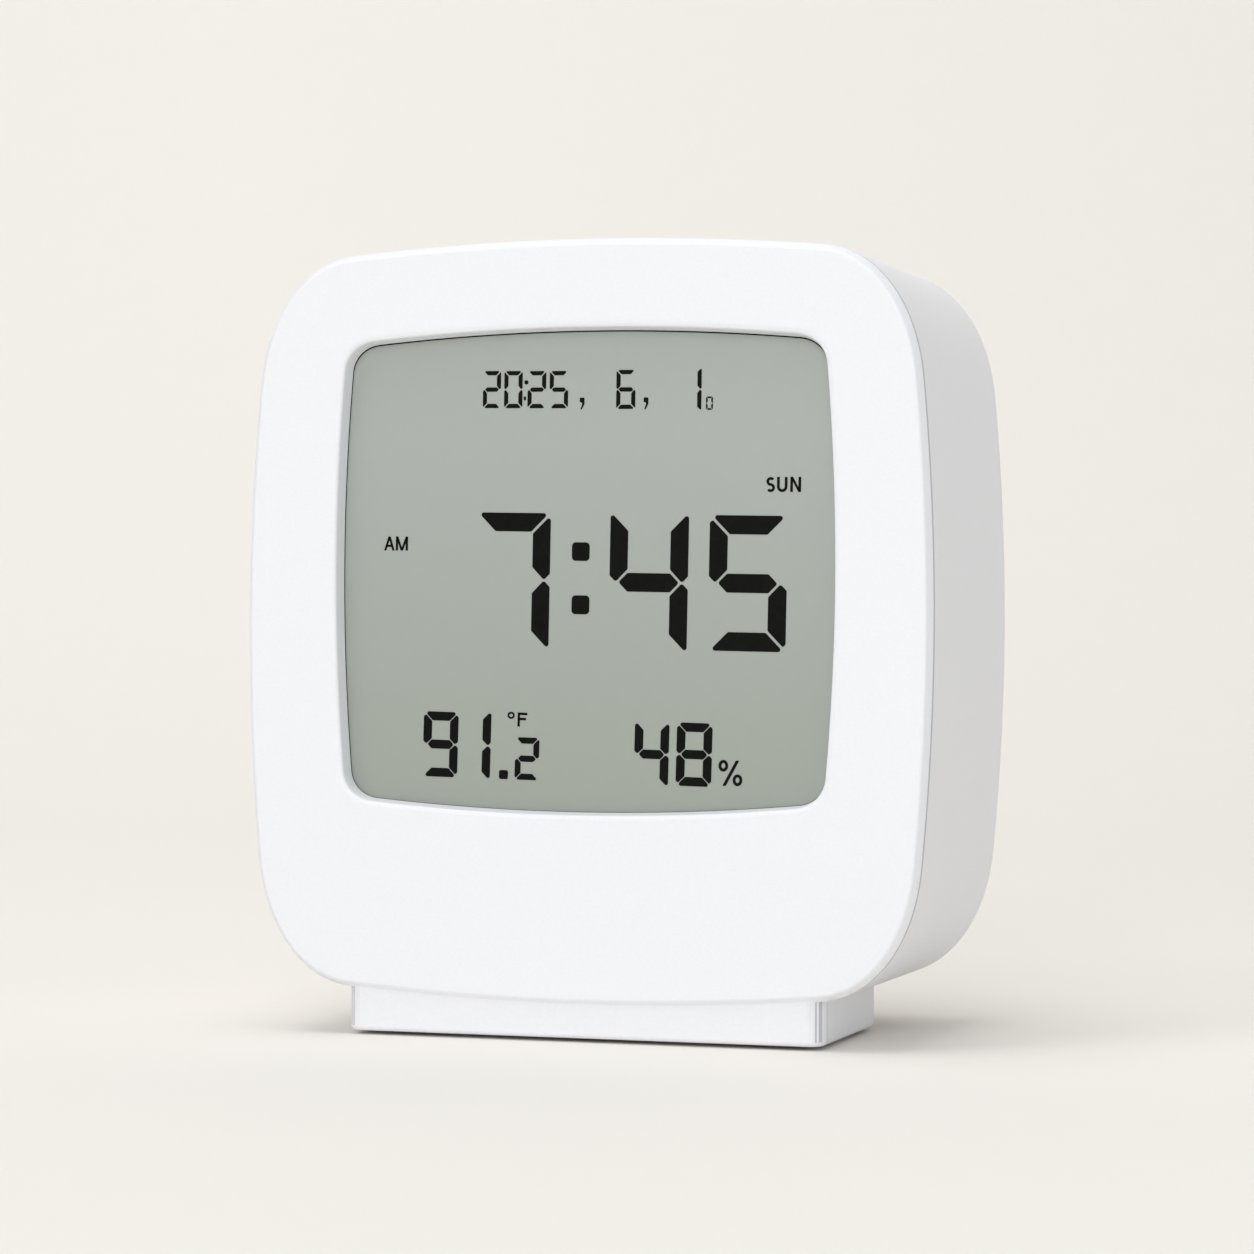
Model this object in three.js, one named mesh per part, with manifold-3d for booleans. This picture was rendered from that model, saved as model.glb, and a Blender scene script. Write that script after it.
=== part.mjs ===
import * as THREE from "three";
import { mergeVertices } from "three/addons/utils/BufferGeometryUtils.js";
import Module from "manifold-3d";

// A free-standing desk clock with a liquid crystal display. Sizes are in millimetres.
// Pieces are modelled in the frame of the front face: x to the right, y the depth behind the face,
// z up from the middle of the body. The last group moves that frame so that z = 0 is the table.

const wasm = await Module();
wasm.setup();

// Body outline, seen from the front: four long arcs joined by full, soft corners
const BODY_WIDTH = 90;
const BODY_HEIGHT = 96;
const BODY_DEPTH = 47;
const SIDE_ARC_RADIUS = 321;
const CAP_ARC_RADIUS = 336;
const SIDE_ARC_RUN = 30;
const CAP_ARC_RUN = 31;
const CORNER_FULLNESS = 0.6;

// Shells
const WALL = 1.8;
const REAR_WALL = 2;
const FRONT_FILLET = 0.9;
const REAR_FILLET = 4;
const BEZEL_THICKNESS = 2.4;
const PARTING_DEPTH = 1.3;
const PARTING_GAP = 0.25;
const PARTING_STEP = 0.45;
const LIP_LENGTH = 3;
const LIP_THICKNESS = 1;
const LIP_CLEARANCE = 0.1;
const SEAT_CLEARANCE = 0.05;

// Foot and its pads
const FOOT_WIDTH = 62.6;
const FOOT_DEPTH = 28.4;
const FOOT_SETBACK = 0.9;
const FOOT_DROP = 4.2;
const FOOT_CORNER_RADIUS = 2;
const FOOT_EDGE_RADIUS = 0.6;
const FOOT_FRONT_THICKNESS = 2.5;
const FOOT_ROOT = 10;
const PAD_DIAMETER = 8;
const PAD_THICKNESS = 1.2;
const PAD_PROUD = 0.5;
const PAD_EDGE_DISTANCE = 5.2;

// Display window in the front shell
const WINDOW_SIDE_MARGIN = 12.5;
const WINDOW_TOP_MARGIN = 11.4;
const WINDOW_BOTTOM_MARGIN = 24.1;
const WINDOW_ARC_RADIUS = 295;
const WINDOW_CORNER = 4.8;
const WINDOW_CORNER_FULLNESS = 0.6;
const WINDOW_FILLET = 0.75;

// Display cell
const DISPLAY_GAP = 0.2;
const GLASS_MARGIN = 0.7;
const GLASS_THICKNESS = 1.1;
const GLASS_LEDGE = 3;
const POLARISER_THICKNESS = 0.25;
const POLARISER_MARGIN = 0.4;
const SEAL_THICKNESS = 0.1;
const RIB_CLEARANCE = 0.3;
const RIB_THICKNESS = 1.2;
const RIB_HEIGHT = 2.6;
const RIB_SHARE = 0.75;
const ZEBRA_THICKNESS = 2;
const ZEBRA_HEIGHT = 4.4;
const ZEBRA_CLEARANCE = 0.1;

// Circuit boards
const BOARD_THICKNESS = 1.6;
const MAIN_BOARD_SIDE_MARGIN = 12;
const MAIN_BOARD_TOP_MARGIN = 5.4;
const MAIN_BOARD_BOTTOM_MARGIN = 15.4;
const MAIN_BOARD_TOP_CHAMFER = 14;
const MAIN_BOARD_CHAMFER = 2;
const REAR_BOARD_SIDE_MARGIN = 13;
const REAR_BOARD_TOP_MARGIN = 10.4;
const REAR_BOARD_BOTTOM = 1;
const REAR_BOARD_STANDOFF = 9.4;
const BOARD_POST_RADIUS = 2.5;
const BOARD_SCREW_RADIUS = 1;
const BOARD_SCREW_HEAD_RADIUS = 2;
const BOARD_SCREW_HEAD = 1.4;
const BOARD_SCREW_LENGTH = 6;
const UPPER_POST_X = 14;
const UPPER_POST_INSET = 2.5;
const LOWER_POST_SIDE_INSET = 6;
const LOWER_POST_INSET = 3;
const REAR_POST_SIDE_INSET = 3.5;
const REAR_POST_INSET = 18;
const SCREW_CLEARANCE = 0.1;
const SCREW_HEAD_SIDE = 0.5;
const SCREW_CROWN = 0.7;

// Parts soldered to the main board
const CHIP_CAP_RADIUS = 8;
const CHIP_CAP_HEIGHT = 2.2;
const CHIP_CAP_Z = 17;
const CRYSTAL_RADIUS = 1.5;
const CRYSTAL_LENGTH = 8;
const CRYSTAL_X = 17;
const CRYSTAL_Z = 20;
const CAPACITOR_RADIUS = 3.15;
const CAPACITOR_HEIGHT = 7.7;
const CAPACITOR_GROOVE = 0.3;
const CAPACITOR_GROOVE_RISE = 1.2;
const CAPACITOR_X = -19;
const CAPACITOR_Z = -14;
const SOCKET_WIDTH = 12;
const SOCKET_HEIGHT = 4;
const SOCKET_DEPTH = 3;
const SOCKET_SLOT_DEPTH = 1;
const MAIN_SOCKET_Z = -2;
const REAR_SOCKET_Z = 5;
const RIBBON_WIDTH = 9;
const RIBBON_THICKNESS = 0.7;
const RIBBON_SAG = 4;
const RIBBON_CLEARANCE = 0.3;
const SOLDER_GAP = 0.1;

// Case screws, in deep wells that open at the rear
const CASE_SCREW_RADIUS = 1.3;
const CASE_SCREW_HEAD_RADIUS = 2.6;
const CASE_SCREW_HEAD = 2;
const CASE_SCREW_LENGTH = 10;
const CASE_BOSS_RADIUS = 3.2;
const CASE_BOSS_LENGTH = 9.5;
const WELL_FLOOR = 2;
const WELL_BORE_RADIUS = 3.1;
const WELL_RADIUS = 4.4;
const UPPER_WELL_INSET = 7.5;
const UPPER_WELL_Z = 21;
const LOWER_WELL_INSET = 17;
const LOWER_WELL_RISE = 10;
const WEB_THICKNESS = 1.2;
const WEB_START = 24;

// Battery bay for two AAA cells, its contacts and springs
const CELL_DIAMETER = 10.5;
const CELL_LENGTH = 44.5;
const CELL_NUB_RADIUS = 1.9;
const CELL_NUB_LENGTH = 1;
const CELL_EDGE = 0.3;
const CELL_PITCH = 10.8;
const CELL_CLEARANCE = 0.3;
const CELL_DOOR_GAP = 0.8;
const BAY_RISE = 28.4;
const BAY_WALL = 1.4;
const BAY_SIDE_GAP = 0.55;
const CONTACT_THICKNESS = 0.4;
const CONTACT_GAP = 0.1;
const CONTACT_WIDTH = 8.4;
const CONTACT_HEIGHT = 8.6;
const CONTACT_TAB_WIDTH = 3;
const CONTACT_TAB_LENGTH = 4;
const CONTACT_CORNER = 1;
const SPRING_LENGTH = 5.6;
const SPRING_END_GAP = 0.15;
const SPRING_CURLS = 4;
const SPRING_ROOT_RADIUS = 3.6;
const SPRING_TIP_RADIUS = 2.1;
const SPRING_WIRE_RADIUS = 0.3;
const SPRING_STRAIGHT = 0.6;
const SADDLE_HEIGHT = 2.4;
const SADDLE_HALF_WIDTH = 2;

// Battery door
const DOOR_WIDTH = 57;
const DOOR_HEIGHT = 27.4;
const DOOR_THICKNESS = 1.6;
const DOOR_CORNER_RADIUS = 1.2;
const DOOR_RECESS_CORNER = 0.6;
const DOOR_GAP = 0.3;
const DOOR_LEDGE_GAP = 0.2;
const DOOR_FRAME = 1.4;
const DOOR_FRAME_DEPTH = 3.8;
const HINGE_INSET = 0.5;
const LUG_X = 16;
const LUG_WIDTH = 5;
const LUG_REACH = 1.2;
const LUG_THICKNESS = 0.9;
const LUG_NECK = 1;
const LUG_CLEARANCE = 0.4;
const LUG_SWEEP = 2.1;
const LATCH_WIDTH = 14;
const LATCH_SLOT = 0.8;
const LATCH_SLOT_LENGTH = 6;
const GRIP_COUNT = 3;
const GRIP_PITCH = 1.3;
const GRIP_WIDTH = 8;
const GRIP_DEPTH = 0.4;
const SCOOP_WIDTH = 13;
const SCOOP_HEIGHT = 4.4;
const SCOOP_DEPTH = 0.9;
const DOOR_RIB_X = 12;
const DOOR_RIB_THICKNESS = 1.2;
const DOOR_RIB_HEIGHT = 0.5;

// Rear buttons and their switches
const BUTTON_WIDTH = 9;
const BUTTON_HEIGHT = 5;
const BUTTON_CORNER = 1.6;
const BUTTON_PROUD = 0.6;
const BUTTON_CLEARANCE = 0.25;
const BUTTON_FLANGE = 1.1;
const BUTTON_FLANGE_THICKNESS = 1;
const BUTTON_STEM_RADIUS = 1.6;
const BUTTON_PITCH = 14;
const BUTTON_ROW_Z = 9;
const BUTTON_TRAVEL = 0.6;
const SWITCH_SIZE = 6;
const SWITCH_HEIGHT = 3.5;
const PLUNGER_RADIUS = 1.75;
const PLUNGER_PROUD = 1.6;
const PLUNGER_DEPTH = 1.4;
const PLUNGER_CLEARANCE = 0.1;
const STOP_GAP = 0.2;

// Sounder, climate sensor and the openings in the rear wall in front of them
const SOUNDER_X = -17;
const SOUNDER_INSET = 9;
const SOUNDER_RADIUS = 6;
const SOUNDER_HEIGHT = 6.5;
const SOUNDER_CHAMFER = 0.5;
const SOUNDER_HOLE_DEPTH = 1;
const SOUND_HOLE_RADIUS = 0.8;
const SOUND_HOLE_PITCH = 2.8;
const SOUND_HOLES_IN_RING = 6;
const SENSOR_X = 17;
const SENSOR_INSET = 9;
const SENSOR_WIDTH = 10;
const SENSOR_HEIGHT = 8;
const SENSOR_DEPTH = 4.5;
const SENSOR_SLOT = 1;
const SENSOR_SLOTS = 3;
const VENT_SLOTS = 5;
const VENT_WIDTH = 12;
const VENT_HEIGHT = 1.4;
const VENT_PITCH = 2.6;

// Wires
const WIRE_RADIUS = 0.6;
const WIRE_STEPS = 14;
const WIRE_SIDES = 8;
const WIRE_SEAT = 0.2;
const LEAD_STRAIGHT = 3;
const LEAD_SAG = 1;
const POSITIVE_PAD_SIDE_INSET = 13;
const POSITIVE_PAD_INSET = 39;
const NEGATIVE_PAD_SIDE_INSET = 7;
const NEGATIVE_PAD_INSET = 9;

// Facet counts
const SIDE_STEPS = 3;
const CORNER_STEPS = 8;
const WINDOW_CORNER_STEPS = 6;
const FILLET_STEPS = 3;
const ROUND_SIDES = 16;
const CELL_SIDES = 24;
const HOLE_SIDES = 10;
const CURL_STEPS = 8;
const CURL_SIDES = 5;
const MERGE_DISTANCE = 1e-4;
const OVERCUT = 1;

// Places that follow from the sizes above
const BODY_BOTTOM = -BODY_HEIGHT / 2;
const FOOT_BOTTOM = BODY_BOTTOM - FOOT_DROP;
const BODY_CENTRE_HEIGHT = PAD_PROUD - FOOT_BOTTOM;
const RIM_DEPTH = PARTING_DEPTH + PARTING_GAP;
const LIP_INSET = WALL + LIP_CLEARANCE;
const FOOT_PARTING = FOOT_SETBACK + FOOT_FRONT_THICKNESS;
const FOOT_END = FOOT_SETBACK + FOOT_DEPTH;
const FOOT_TOP = BODY_BOTTOM + FOOT_ROOT;
const REAR_INNER = BODY_DEPTH - REAR_WALL;
const OVERALL_DEPTH = BODY_DEPTH + BUTTON_PROUD;
const WINDOW_WIDTH = BODY_WIDTH - 2 * WINDOW_SIDE_MARGIN;
const WINDOW_HEIGHT = BODY_HEIGHT - WINDOW_TOP_MARGIN - WINDOW_BOTTOM_MARGIN;
const WINDOW_RISE = (WINDOW_BOTTOM_MARGIN - WINDOW_TOP_MARGIN) / 2;
const GLASS_WIDTH = WINDOW_WIDTH + 2 * GLASS_MARGIN;
const GLASS_HEIGHT = WINDOW_HEIGHT + 2 * GLASS_MARGIN;
const POLARISER_FRONT = BEZEL_THICKNESS + DISPLAY_GAP;
const FRONT_GLASS_FRONT = POLARISER_FRONT + POLARISER_THICKNESS + SEAT_CLEARANCE;
const REAR_GLASS_FRONT = FRONT_GLASS_FRONT + GLASS_THICKNESS + SEAL_THICKNESS;
const REFLECTOR_FRONT = REAR_GLASS_FRONT + GLASS_THICKNESS + SEAT_CLEARANCE;
const ZEBRA_FRONT = FRONT_GLASS_FRONT + GLASS_THICKNESS + ZEBRA_CLEARANCE;
const MAIN_BOARD_FRONT = ZEBRA_FRONT + ZEBRA_HEIGHT + ZEBRA_CLEARANCE;
const MAIN_BOARD_BACK = MAIN_BOARD_FRONT + BOARD_THICKNESS;
const REAR_BOARD_BACK = REAR_INNER - REAR_BOARD_STANDOFF;
const REAR_BOARD_FRONT = REAR_BOARD_BACK - BOARD_THICKNESS;
const MAIN_BOARD_WIDTH = BODY_WIDTH - 2 * MAIN_BOARD_SIDE_MARGIN;
const MAIN_BOARD_TOP = BODY_HEIGHT / 2 - MAIN_BOARD_TOP_MARGIN;
const MAIN_BOARD_BOTTOM = BODY_BOTTOM + MAIN_BOARD_BOTTOM_MARGIN;
const REAR_BOARD_WIDTH = BODY_WIDTH - 2 * REAR_BOARD_SIDE_MARGIN;
const REAR_BOARD_TOP = BODY_HEIGHT / 2 - REAR_BOARD_TOP_MARGIN;
const POSITIVE_PAD_X = POSITIVE_PAD_SIDE_INSET - MAIN_BOARD_WIDTH / 2;
const POSITIVE_PAD_Z = MAIN_BOARD_BOTTOM + POSITIVE_PAD_INSET;
const NEGATIVE_PAD_X = NEGATIVE_PAD_SIDE_INSET - MAIN_BOARD_WIDTH / 2;
const NEGATIVE_PAD_Z = MAIN_BOARD_BOTTOM + NEGATIVE_PAD_INSET;
const UPPER_POST_Z = MAIN_BOARD_TOP - UPPER_POST_INSET;
const LOWER_POST_X = MAIN_BOARD_WIDTH / 2 - LOWER_POST_SIDE_INSET;
const LOWER_POST_Z = MAIN_BOARD_BOTTOM + LOWER_POST_INSET;
const REAR_POST_X = REAR_BOARD_WIDTH / 2 - REAR_POST_SIDE_INSET;
const REAR_POST_Z = REAR_BOARD_TOP - REAR_POST_INSET;
const SOUNDER_Z = REAR_BOARD_TOP - SOUNDER_INSET;
const SENSOR_Z = REAR_BOARD_TOP - SENSOR_INSET;
const BOSS_END = BEZEL_THICKNESS + CASE_BOSS_LENGTH;
const WELL_END = BOSS_END + SEAT_CLEARANCE;
const WELL_SEAT = WELL_END + WELL_FLOOR;
const UPPER_WELL_X = BODY_WIDTH / 2 - UPPER_WELL_INSET;
const LOWER_WELL_X = BODY_WIDTH / 2 - LOWER_WELL_INSET;
const LOWER_WELL_Z = BODY_BOTTOM + LOWER_WELL_RISE;
const DOOR_INNER = BODY_DEPTH - DOOR_THICKNESS;
const DOOR_LEDGE = DOOR_INNER - DOOR_LEDGE_GAP;
const BAY_CENTRE_Z = BODY_BOTTOM + BAY_RISE;
const DOOR_BOTTOM = BAY_CENTRE_Z - DOOR_HEIGHT / 2;
const DOOR_TOP = BAY_CENTRE_Z + DOOR_HEIGHT / 2;
const HINGE_Y = BODY_DEPTH - HINGE_INSET;
const HINGE_Z = DOOR_BOTTOM + HINGE_INSET;
const CELL_Y = DOOR_INNER - CELL_DOOR_GAP - CELL_DIAMETER / 2;
const BAY_FLOOR = CELL_Y - CELL_DIAMETER / 2 - CELL_CLEARANCE;
const CONTACT_STACK = CONTACT_GAP + CONTACT_THICKNESS + SPRING_END_GAP;
const NUB_STACK = CONTACT_GAP + CONTACT_THICKNESS + CONTACT_GAP;
const BAY_LENGTH = CELL_LENGTH + NUB_STACK + CONTACT_STACK + SPRING_LENGTH + SPRING_END_GAP;
const BAY_HEIGHT = CELL_PITCH + CELL_DIAMETER + 2 * BAY_SIDE_GAP;
const UPPER_CELL_Z = BAY_CENTRE_Z + CELL_PITCH / 2;
const LOWER_CELL_Z = BAY_CENTRE_Z - CELL_PITCH / 2;
const SWITCH_TOP = REAR_BOARD_BACK + SWITCH_HEIGHT;
const PLUNGER_TOP = SWITCH_TOP + PLUNGER_PROUD;
const SCREW_BORE = BOARD_SCREW_RADIUS + SCREW_CLEARANCE;

// Materials
const plastic = (color, roughness) => new THREE.MeshStandardMaterial({ color, roughness, metalness: 0 });
const metal = (color, roughness) => new THREE.MeshStandardMaterial({ color, roughness, metalness: 1 });
const WHITE_PLASTIC = plastic(0xf3f3f5, 0.45);
const BUTTON_PLASTIC = plastic(0xe6e6e8, 0.4);
const DISPLAY_FILM = plastic(0xacb1a6, 0.5);
const GLASS = new THREE.MeshStandardMaterial({
  color: 0xc9d2c8,
  roughness: 0.05,
  metalness: 0,
  transparent: true,
  opacity: 0.4,
});
const REFLECTOR_FILM = metal(0xb9bfb4, 0.5);
const CONDUCTIVE_RUBBER = plastic(0x3a3a3c, 0.8);
const BOARD_LAMINATE = plastic(0x2f6b3c, 0.55);
const BLACK_EPOXY = plastic(0x161616, 0.35);
const BLACK_PLASTIC = plastic(0x222224, 0.5);
const SENSOR_PLASTIC = plastic(0xe9e9e4, 0.55);
const STEEL = metal(0xb8babd, 0.35);
const NICKEL_PLATE = metal(0xc9c6bd, 0.3);
const CELL_LABEL = plastic(0x3b4046, 0.4);
const SOFT_RUBBER = plastic(0x8b8d90, 0.85);
const RED_WIRE = plastic(0xb0282c, 0.5);
const BLACK_WIRE = plastic(0x1d1d1f, 0.5);
const GREY_RIBBON = plastic(0x9a9ca0, 0.6);

// Solids

// A closed geometry as a solid that can be joined and cut.
function solid(geometry) {
  const loose = geometry.index ? geometry.toNonIndexed() : geometry;
  const bare = new THREE.BufferGeometry().setAttribute("position", loose.getAttribute("position"));
  const merged = mergeVertices(bare, MERGE_DISTANCE);
  const corners = merged.index.array;
  const triangles = [];
  for (let i = 0; i < corners.length; i += 3) {
    const [a, b, c] = [corners[i], corners[i + 1], corners[i + 2]];
    if (a !== b && b !== c && c !== a) triangles.push(a, b, c);
  }
  return new wasm.Manifold(
    new wasm.Mesh({
      numProp: 3,
      vertProperties: merged.attributes.position.array,
      triVerts: new Uint32Array(triangles),
    }),
  );
}

const join = (...solids) => solids.reduce((whole, part) => whole.add(part));
const cut = (whole, ...tools) => tools.reduce((rest, tool) => rest.subtract(tool), whole);

function geometryOf(body) {
  const { vertProperties, triVerts } = body.getMesh();
  const geometry = new THREE.BufferGeometry();
  geometry.setAttribute("position", new THREE.BufferAttribute(new Float32Array(vertProperties), 3));
  geometry.setIndex(new THREE.BufferAttribute(new Uint32Array(triVerts), 1));
  geometry.computeVertexNormals();
  return geometry;
}

// Rings of points joined side to side, closed by a fan at each end. A ring runs anticlockwise
// as seen from where the loft starts, and each ring has the same number of points.
function loft(rings) {
  const count = rings[0].length;
  const positions = rings.flat(2);
  const index = [];
  for (let r = 0; r < rings.length - 1; r++) {
    for (let j = 0; j < count; j++) {
      const a = r * count + j;
      const b = r * count + ((j + 1) % count);
      index.push(a, a + count, b, b, a + count, b + count);
    }
  }
  const addCap = (ring, first, turned) => {
    const centre = [0, 1, 2].map((k) => ring.reduce((sum, p) => sum + p[k], 0) / count);
    const hub = positions.length / 3;
    positions.push(...centre);
    for (let j = 0; j < count; j++) {
      const a = first + j;
      const b = first + ((j + 1) % count);
      index.push(hub, ...(turned ? [b, a] : [a, b]));
    }
  };
  addCap(rings[0], 0, false);
  addCap(rings[rings.length - 1], (rings.length - 1) * count, true);
  const geometry = new THREE.BufferGeometry();
  geometry.setAttribute("position", new THREE.Float32BufferAttribute(positions, 3));
  geometry.setIndex(index);
  return solid(geometry);
}

// A box from its lowest to its highest corner.
function box(x0, y0, z0, x1, y1, z1) {
  const geometry = new THREE.BoxGeometry(x1 - x0, y1 - y0, z1 - z0);
  return solid(geometry.translate((x0 + x1) / 2, (y0 + y1) / 2, (z0 + z1) / 2));
}

// A shape drawn in x and z, extruded from depth y0 to depth y1.
function slab(shape, y0, y1) {
  const geometry = new THREE.ExtrudeGeometry(shape, { depth: y1 - y0, bevelEnabled: false, curveSegments: 4 });
  return solid(geometry.rotateX(Math.PI / 2).translate(0, y1, 0));
}

// A shape drawn in y and z, extruded from x0 to x1.
function slabAcross(shape, x0, x1) {
  const geometry = new THREE.ExtrudeGeometry(shape, { depth: x1 - x0, bevelEnabled: false, curveSegments: 4 });
  const turn = new THREE.Matrix4().makeBasis(
    new THREE.Vector3(0, 1, 0),
    new THREE.Vector3(0, 0, 1),
    new THREE.Vector3(1, 0, 0),
  );
  return solid(geometry.applyMatrix4(turn).translate(x0, 0, 0));
}

// A profile of [radius, y] pairs, from low y to high, turned about a line along y.
function turned(profile, x, z, sides) {
  const points = profile.map(([radius, y]) => new THREE.Vector2(radius, y));
  return solid(new THREE.LatheGeometry(points, sides).translate(x, 0, z));
}

const rod = (radius, y0, y1, x, z, sides = ROUND_SIDES) =>
  turned([[0, y0], [radius, y0], [radius, y1], [0, y1]], x, z, sides);

function roundedRectangle(width, height, radius, x = 0, z = 0) {
  const [w, h] = [width / 2, height / 2];
  const shape = new THREE.Shape();
  shape.absarc(x + w - radius, z - h + radius, radius, -Math.PI / 2, 0);
  shape.absarc(x + w - radius, z + h - radius, radius, 0, Math.PI / 2);
  shape.absarc(x - w + radius, z + h - radius, radius, Math.PI / 2, Math.PI);
  shape.absarc(x - w + radius, z - h + radius, radius, Math.PI, Math.PI * 1.5);
  return shape;
}

// Outlines

// A quarter of a barrel-sided outline, from the middle of the right side to the middle of the top:
// a long arc, a cubic corner whose handles reach along both arcs' end tangents, and the top's long arc.
// Each point carries its outward normal.
function quarterOutline(size) {
  const { halfWidth, halfHeight, sideRadius, capRadius, sideRun, capRun, fullness, cornerSteps } = size;
  const sideTurn = Math.asin(sideRun / sideRadius);
  const capTurn = Math.PI / 2 - Math.asin(capRun / capRadius);
  const onArc = (cx, cz, radius, angle) => ({
    x: cx + radius * Math.cos(angle),
    z: cz + radius * Math.sin(angle),
    nx: Math.cos(angle),
    nz: Math.sin(angle),
  });
  const sidePoint = (t) => onArc(halfWidth - sideRadius, 0, sideRadius, t * sideTurn);
  const capPoint = (t) => onArc(0, halfHeight - capRadius, capRadius, capTurn + t * (Math.PI / 2 - capTurn));
  const start = sidePoint(1);
  const end = capPoint(0);
  const turn = start.nx * end.nz - start.nz * end.nx;
  const [gapX, gapZ] = [end.x - start.x, end.z - start.z];
  const startReach = (gapX * end.nx + gapZ * end.nz) / turn;
  const endReach = (gapX * start.nx + gapZ * start.nz) / -turn;
  const corner = new THREE.CubicBezierCurve(
    new THREE.Vector2(start.x, start.z),
    new THREE.Vector2(start.x - start.nz * startReach * fullness, start.z + start.nx * startReach * fullness),
    new THREE.Vector2(end.x + end.nz * endReach * fullness, end.z - end.nx * endReach * fullness),
    new THREE.Vector2(end.x, end.z),
  );
  const cornerPoint = (t) => {
    const [place, along] = [corner.getPoint(t), corner.getTangent(t)];
    return { x: place.x, z: place.y, nx: along.y, nz: -along.x };
  };
  const steps = (count, pointAt) => Array.from({ length: count }, (_, i) => pointAt(i / count));
  return [
    ...steps(SIDE_STEPS, sidePoint),
    ...steps(cornerSteps, cornerPoint),
    ...steps(SIDE_STEPS, capPoint),
    { x: 0, z: halfHeight, nx: 0, nz: 1 },
  ];
}

// The quarter mirrored to the whole outline, anticlockwise from the middle of the right side.
function wholeOutline(size) {
  const quarter = quarterOutline(size);
  const mirrored = (points, sx, sz) =>
    points.map((p) => ({ x: sx * p.x, z: sz * p.z, nx: sx * p.nx, nz: sz * p.nz }));
  const back = [...quarter].reverse();
  return [
    ...quarter.slice(0, -1),
    ...mirrored(back, -1, 1).slice(0, -1),
    ...mirrored(quarter, -1, -1).slice(0, -1),
    ...mirrored(back, 1, -1).slice(0, -1),
  ];
}

const BODY_OUTLINE = wholeOutline({
  halfWidth: BODY_WIDTH / 2,
  halfHeight: BODY_HEIGHT / 2,
  sideRadius: SIDE_ARC_RADIUS,
  capRadius: CAP_ARC_RADIUS,
  sideRun: SIDE_ARC_RUN,
  capRun: CAP_ARC_RUN,
  fullness: CORNER_FULLNESS,
  cornerSteps: CORNER_STEPS,
});

const WINDOW_OUTLINE = wholeOutline({
  halfWidth: WINDOW_WIDTH / 2,
  halfHeight: WINDOW_HEIGHT / 2,
  sideRadius: WINDOW_ARC_RADIUS,
  capRadius: WINDOW_ARC_RADIUS,
  sideRun: WINDOW_HEIGHT / 2 - WINDOW_CORNER,
  capRun: WINDOW_WIDTH / 2 - WINDOW_CORNER,
  fullness: WINDOW_CORNER_FULLNESS,
  cornerSteps: WINDOW_CORNER_STEPS,
});

// One ring of an outline, moved inwards along its normals, at one depth.
const ring = (outline, inset, y, rise = 0) =>
  outline.map((p) => [p.x - p.nx * inset, y, p.z - p.nz * inset + rise]);

// Insets and depths of a quarter round of the given radius, from the flat face to the side.
const quarterRound = (radius) =>
  Array.from({ length: FILLET_STEPS + 1 }, (_, i) => {
    const angle = ((Math.PI / 2) * i) / FILLET_STEPS;
    return { inset: radius * (1 - Math.sin(angle)), depth: radius * (1 - Math.cos(angle)) };
  });

// The body between two depths with a rounded front edge.
const bodyFromFace = (y1) =>
  loft([
    ...quarterRound(FRONT_FILLET).map(({ inset, depth }) => ring(BODY_OUTLINE, inset, depth)),
    ring(BODY_OUTLINE, 0, y1),
  ]);

// The body between a plain front depth and a rounded rear edge.
const bodyToRear = (inset, y0, y1, radius) =>
  loft([
    ring(BODY_OUTLINE, inset, y0),
    ...quarterRound(radius)
      .reverse()
      .map((step) => ring(BODY_OUTLINE, inset + step.inset, y1 - step.depth)),
  ]);

const bodySlice = (inset, y0, y1) => loft([ring(BODY_OUTLINE, inset, y0), ring(BODY_OUTLINE, inset, y1)]);

// The foot as a block that runs up into the body, its lower edge rounded. Listed from the top down.
function footBlock(inset) {
  const middle = FOOT_SETBACK + FOOT_DEPTH / 2;
  const planRing = (extra, z) => {
    const plan = roundedRectangle(
      FOOT_WIDTH - 2 * (inset + extra),
      FOOT_DEPTH - 2 * (inset + extra),
      Math.max(FOOT_CORNER_RADIUS - inset - extra, FOOT_EDGE_RADIUS),
      0,
      middle,
    );
    return plan.getPoints(FILLET_STEPS).map((p) => [p.x, p.y, z]);
  };
  const lowest = FOOT_BOTTOM + inset;
  const edge = quarterRound(FOOT_EDGE_RADIUS).reverse();
  return loft([
    planRing(0, FOOT_TOP),
    ...edge.map((step) => planRing(step.inset, lowest + step.depth)),
  ]);
}

const everywhere = BODY_WIDTH + BODY_DEPTH;
const depthBand = (y0, y1) => box(-everywhere, y0, -everywhere, everywhere, y1, everywhere);

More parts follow.
